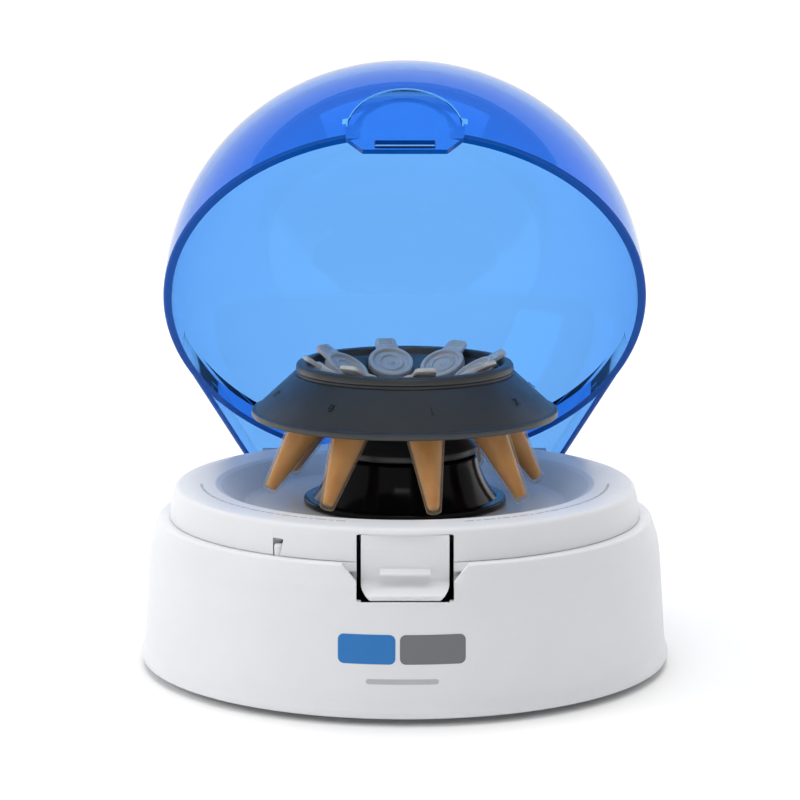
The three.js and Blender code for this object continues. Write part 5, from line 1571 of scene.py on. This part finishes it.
# ----------------------------------------------------------------------------------------------------------------------
# Sample tubes
# ----------------------------------------------------------------------------------------------------------------------
@dataclass
class SampleTubes:
    """The capped tubes and the liquid in them."""

    places: TubePlaces
    wall: float = 0.6
    flange_top: float = 2.6
    flange_height: float = 1.5
    straight: float = 17.5
    end_radius: float = 2.3
    cap_radius: float = 6.6
    plug: float = 2.9
    tab_reach: float = 10.8
    fill: float = 12.0
    body: str = "rotor"

    def build(self) -> None:
        """Builds the tubes, caps and samples, place by place."""
        site = self.places.site
        kinds = (("vial", self.tube(), TUBE_SKIN, "tube"), ("cap", None, CAP_SKIN, "tube_cap"),
                 ("liquid", self.sample(), AMBER, "sample"))
        cap = self.cap(site)
        for i in range(self.places.count):
            for name, shape, finish, node in kinds:
                surface = self.places.carry(cap if shape is None else shape, i)
                fit(make_mesh(f"{name}_{i + 1}", surface, site), finish, self.body, f"{node}_{i + 1}")

    def tube(self) -> Surface:
        """The tube: flange, straight part, cone and rounded end, with its wall."""
        p, inner, end = self.places, self.places.tube_radius - self.wall, self.end_radius - self.wall
        length, taper = p.length, p.length - 1.6
        foot = self.flange_top + self.flange_height
        return revolved(filleted([
            (0, -length, 0), (self.end_radius - 0.25, -length, 1.7), (self.end_radius, -taper, 2),
            (p.tube_radius, -self.straight, 8), (p.tube_radius, -foot, 0.25), (p.flange_radius, -foot, 0.3),
            (p.flange_radius, -self.flange_top, 0.3), (inner, -self.flange_top, 0.2), (inner, -self.straight, 8),
            (end, -taper, 1), (end * 0.7, -length + 1.0, 0.5), (0, -length + 1.0, 0)]), 56)

    def sample(self) -> Surface:
        """The liquid, a hair inside the tube's wall."""
        inner, end, gap = self.places.tube_radius - self.wall, self.end_radius - self.wall, 0.06
        taper = self.places.length - 1.6
        return revolved(filleted([
            (0, -taper - 0.3, 0), (end * 0.8, -taper - 0.3, 0.4), (end - gap, -taper + 0.6, 0.8),
            (inner - gap, -self.straight, 8), (inner - gap, -self.fill, 0.3), (0, -self.fill, 0)]), 48)

    def cap(self, site: Site) -> Surface:
        """The cap: a recessed disc with a raised centre ring, a plug, a thumb tab and the strap behind.

        Args:
            site: The rotor axis in the frame.

        Returns:
            The cap with its tab and strap as one closed body.
        """
        foot, plug = self.flange_top - GAP, self.places.tube_radius - self.wall - GAP
        radius = self.cap_radius
        disc = revolved(filleted([
            (0, -foot - self.plug + 0.8, 0), (plug - 1, -foot - self.plug + 0.8, 0.4), (plug - 0.8, -foot - self.plug, 0.3),
            (plug, -foot - self.plug + 0.2, 0.3), (plug, -foot, 0.2), (radius, -foot, 0.3), (radius, -0.2, 0.4),
            (radius - 0.5, 0, 0.3), (radius - 1.2, 0, 0.3), (radius - 1.6, -0.85, 0.35), (radius - 2.7, -0.9, 0.3),
            (radius - 3.0, -0.45, 0.25), (radius - 3.5, -0.45, 0.25), (radius - 3.8, -0.9, 0.3),
            (1.2, -0.95, 0.4), (0.7, -0.6, 0.3), (0, -0.55, 0)]), 64)
        piece = make_mesh("cap_shape", disc, site)
        outline = filleted([(-3.5, -radius + 1.6, 0), (-2.9, -self.tab_reach, 1.3), (2.9, -self.tab_reach, 1.3),
                            (3.5, -radius + 1.6, 0)], closed=True)
        ribs = [block((-1.9, 1.9), (-y - 0.2, -y + 0.2), (-0.7, -0.32)) for y in (8.4, 9.3, 10.1)]
        strap = prism(rounded_rectangle(1.5, 2.1, 0.5, (radius + 0.15, -2.05)), -1.8, 1.8, "x")
        carve(piece, [prism(outline, -1.5, -0.5), strap, *ribs], Carve.JOIN, site)
        weld(piece, 0.02)
        soften(piece, 0.15, 42.0, 2)
        flat = np.empty(len(piece.data.vertices) * 3)
        piece.data.vertices.foreach_get("co", flat)
        points = (flat.reshape(-1, 3) - np.array(site.axis)) / MM
        faces = [tuple(face.vertices) for face in piece.data.polygons]
        shape = piece.data
        bpy.data.objects.remove(piece)
        bpy.data.meshes.remove(shape)
        return Surface(points, faces)


# ----------------------------------------------------------------------------------------------------------------------
# Rear sockets
# ----------------------------------------------------------------------------------------------------------------------
@dataclass
class RearPanel:
    """The low-voltage inlet and the power switch in the rear wall."""

    site: Site
    layout: Layout

    def build(self) -> None:
        """Builds the inlet, the switch's frame and its rocker."""
        self.inlet()
        self.switch_frame()
        self.rocker()

    def inlet(self) -> None:
        """The inlet: a flanged barrel with a socket and a centre pin."""
        box = Extent.of("dc_jack", self.site)
        x, z, rear, front = box.centre.x, box.centre.z, box.high.y, box.low.y
        section = filleted([
            (0, front, 0), (4.6, front, 0.3), (4.6, rear - 1.4, 0.1), (6.0, rear - 1.4, 0.2), (6.0, rear, 0.5),
            (3.5, rear, 0.3), (3.1, rear - 0.5, 0.2), (3.1, front + 3, 0.3), (1.0, front + 3, 0.2),
            (1.0, rear - 1.6, 0.4), (0, rear - 1.6, 0)])
        lying = revolved(section, 72).turned(Matrix.Rotation(-math.pi / 2, 4, "X"))
        fit(make_mesh("power_inlet", lying.moved(x, 0, z), self.site), BLACK_SHELL, "base", "dc_jack")

    def switch_frame(self) -> None:
        """The switch's frame: a rounded flange with a deep opening."""
        box = Extent.of("power_switch_frame", self.site)
        x, z, rear = box.centre.x, box.centre.z, box.high.y
        flange = rounded_rectangle(box.size.x, box.size.z, 1.0, (x, z))
        piece = make_mesh("switch_bezel", prism(flange, rear - 1.4, rear, "y"), self.site)
        case = rounded_rectangle(box.size.x - 2.8, box.size.z - 2.8, 0.5, (x, z))
        carve(piece, [prism(case, box.low.y, rear - 0.8, "y")], Carve.JOIN, self.site)
        opening = rounded_rectangle(box.size.x - 5.2, box.size.z - 5.2, 0.5, (x, z))
        carve(piece, [prism(opening, rear - 9, rear + 2, "y")], Carve.CUT, self.site)
        soften(piece, 0.3)
        fit(piece, BLACK_SHELL, "base", "power_switch_frame")

    def rocker(self) -> None:
        """The rocker: a shallow V section carried across its width, with a line and a ring as its marks."""
        pivot = Vector((Extent.of("power_switch_frame", self.site).centre.x, self.layout.base_rear - 3,
                        Extent.of("power_switch_frame", self.site).centre.z))
        half, width = 6.1, 4.0
        section = filleted([(-3, -half + 2.4, 1), (1.6, -half, 0.5), (3.6, -half, 0.6), (2.8, 0, 5), (3.6, half, 0.6),
                            (1.6, half, 0.5), (-3, half - 2.4, 1)], closed=True)
        place = Matrix.Translation(pivot) @ Matrix.Rotation(math.radians(8), 4, "X")
        piece = make_mesh("rocker_key", prism(section, -width, width, "x").turned(place), self.site)
        soften(piece, 0.3)
        fit(piece, BLACK_SHELL, "power_rocker", "power_rocker")
        line = block((-0.3, 0.3), (3.0, 3.42), (2.0, 4.6))
        ring = revolved(np.array([[1.0, 0.0], [1.5, 0.0], [1.5, 0.35], [1.0, 0.35]]), 40, closed=True)
        ring = ring.turned(Matrix.Translation((0, 3.05, -3.3)) @ Matrix.Rotation(-math.pi / 2, 4, "X"))
        marks = make_mesh("rocker_marks", line.plus(ring).turned(place), self.site)
        fit(marks, PRINT_PALE, "power_rocker")


# ----------------------------------------------------------------------------------------------------------------------
# Pieces carried over from the frame
# ----------------------------------------------------------------------------------------------------------------------
CARRIED_OVER: dict[str, Finish] = {
    "motor_can": STEEL, "motor_end_cap": BLACK_SHELL, "motor_bearing_upper": BRASS, "motor_bearing_lower": BRASS,
    "motor_damper": RUBBER, "motor_bracket": GREY_SHELL, "bracket_screw_1": STEEL, "bracket_screw_2": STEEL,
    "motor_armature": COPPER, "circuit_board": BOARD,
}


def dress_inside(nodes: dict[str, bpy.types.Object]) -> None:
    """Gives the inner pieces of the frame their finishes."""
    for name, finish in CARRIED_OVER.items():
        dress(nodes[name], finish)
        LOG.info("%s: carried over in %s", name, finish.name)


# ----------------------------------------------------------------------------------------------------------------------
# Studio
# ----------------------------------------------------------------------------------------------------------------------
@dataclass(frozen=True)
class SoftBox:
    """A rectangular area light aimed at a point, sizes and places in metres."""

    name: str
    place: tuple[float, float, float]
    aim: tuple[float, float, float]
    size: tuple[float, float]
    power: float
    in_reflections: bool = True

    def light(self) -> None:
        """Puts the light in the scene."""
        lamp = bpy.data.lights.new(self.name, "AREA")
        lamp.shape, lamp.size, lamp.size_y, lamp.energy = "RECTANGLE", *self.size, self.power
        holder = bpy.data.objects.new(self.name, lamp)
        bpy.context.scene.collection.objects.link(holder)
        holder.location = self.place
        way = Vector(self.aim) - Vector(self.place)
        holder.rotation_euler = way.to_track_quat("-Z", "Y").to_euler()
        holder.visible_glossy = self.in_reflections


@dataclass
class Studio:
    """Camera, lights, world and the pale sweep that the object stands on."""

    site: Site
    camera_distance: float = 0.8668
    camera_height: float = 0.2218
    camera_aside: float = -0.00138
    camera_pitch: float = math.radians(9.56)
    lens_mm: float = 137.57
    world_light: float = 0.38
    backdrop_glow: float = 0.6

    def build(self) -> None:
        """Sets up the camera first, then the lights and the floor."""
        self.camera()
        self.lights()
        self.floor()

    def camera(self) -> None:
        """A long lens in front of the object, a little above it."""
        lens = bpy.data.cameras.new("camera")
        lens.lens, lens.sensor_width, lens.clip_end = self.lens_mm, 36.0, 50.0
        holder = bpy.data.objects.new("camera", lens)
        bpy.context.scene.collection.objects.link(holder)
        holder.location = self.site.axis + Vector((self.camera_aside, -self.camera_distance, self.camera_height))
        holder.rotation_euler = (math.pi / 2 - self.camera_pitch, 0, 0)
        bpy.context.scene.camera = holder

    def lights(self) -> None:
        """White surroundings, a soft key from the upper left, a fill above the camera and an overhead panel."""
        scene = bpy.context.scene
        scene.view_settings.view_transform = "Standard"
        world = bpy.data.worlds.new("studio")
        world.use_nodes = True
        background = world.node_tree.nodes["Background"]
        background.inputs["Color"].default_value = (1, 1, 1, 1)
        background.inputs["Strength"].default_value = self.world_light
        scene.world = world
        for box in (
                SoftBox("key", (-1.30, -0.30, 0.60), (0, 0, 0.05), (0.8, 0.8), 6.0, False),
                SoftBox("fill", (0.05, -1.25, 1.25), (0, 0, 0.08), (0.9, 0.5), 2.8),
                SoftBox("overhead", (0, 0.2, 1.7), (0, 0, 0), (1.5, 1.5), 21.0, False)):
            box.light()

    def floor(self) -> None:
        """A pale floor that sweeps up behind: flat, then a quarter round, then upright."""
        half, behind, bend, high, before = 6.0, 2.2, 1.2, 4.0, 4.0
        turn = np.linspace(0, math.pi / 2, 24)
        y = np.concatenate([[-before], behind + bend * np.sin(turn), [behind + bend]])
        z = np.concatenate([[0], bend * (1 - np.cos(turn)), [high]])
        points = np.stack([np.stack([np.full_like(y, x), y, z], -1) for x in (-half, half)], 1).reshape(-1, 3)
        mesh = bpy.data.meshes.new("floor")
        mesh.from_pydata(points, [], [face[::-1] for face in grid_faces(len(y), 2, False, False)])
        mesh.shade_smooth()
        sweep = bpy.data.objects.new("floor", mesh)
        bpy.context.scene.collection.objects.link(sweep)
        sheet = NodeSheet("floor_paper")
        tone = sheet.tones(sheet.noise(120.0), (0.93, 0.93, 0.93), (0.95, 0.95, 0.95))
        depth = sheet.add("ShaderNodeSeparateXYZ", {"Vector": sheet.place}).outputs["Y"]
        glow = sheet.add("ShaderNodeMapRange", {"Value": depth, "From Min": 0.3, "From Max": 2.4, "To Min": 0.02,
                                                "To Max": self.backdrop_glow}).outputs["Result"]
        mesh.materials.append(sheet.finish(sheet.add("ShaderNodeBsdfPrincipled", {
            "Base Color": tone, "Roughness": 0.9, "Specular IOR Level": 0.1, "Emission Color": (1, 1, 1, 1),
            "Emission Strength": glow})))


def main() -> None:
    """Builds the looks around the frame."""
    logging.basicConfig(level=logging.INFO, format="%(name)s: %(message)s")
    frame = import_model()
    site = Site.from_frame(frame["joints"])
    layout = Layout.from_frame(site)
    Studio(site).build()
    places = TubePlaces(site, layout)
    for assembly in (Base(site, layout), FrontLatch(site, layout), Lid(site, layout), Rotor(site, layout, places),
                     SampleTubes(places), RearPanel(site, layout)):
        LOG.info("building %s", type(assembly).__name__)
        assembly.build()
    dress_inside(frame["nodes"])


if __name__ == "__main__":
    main()
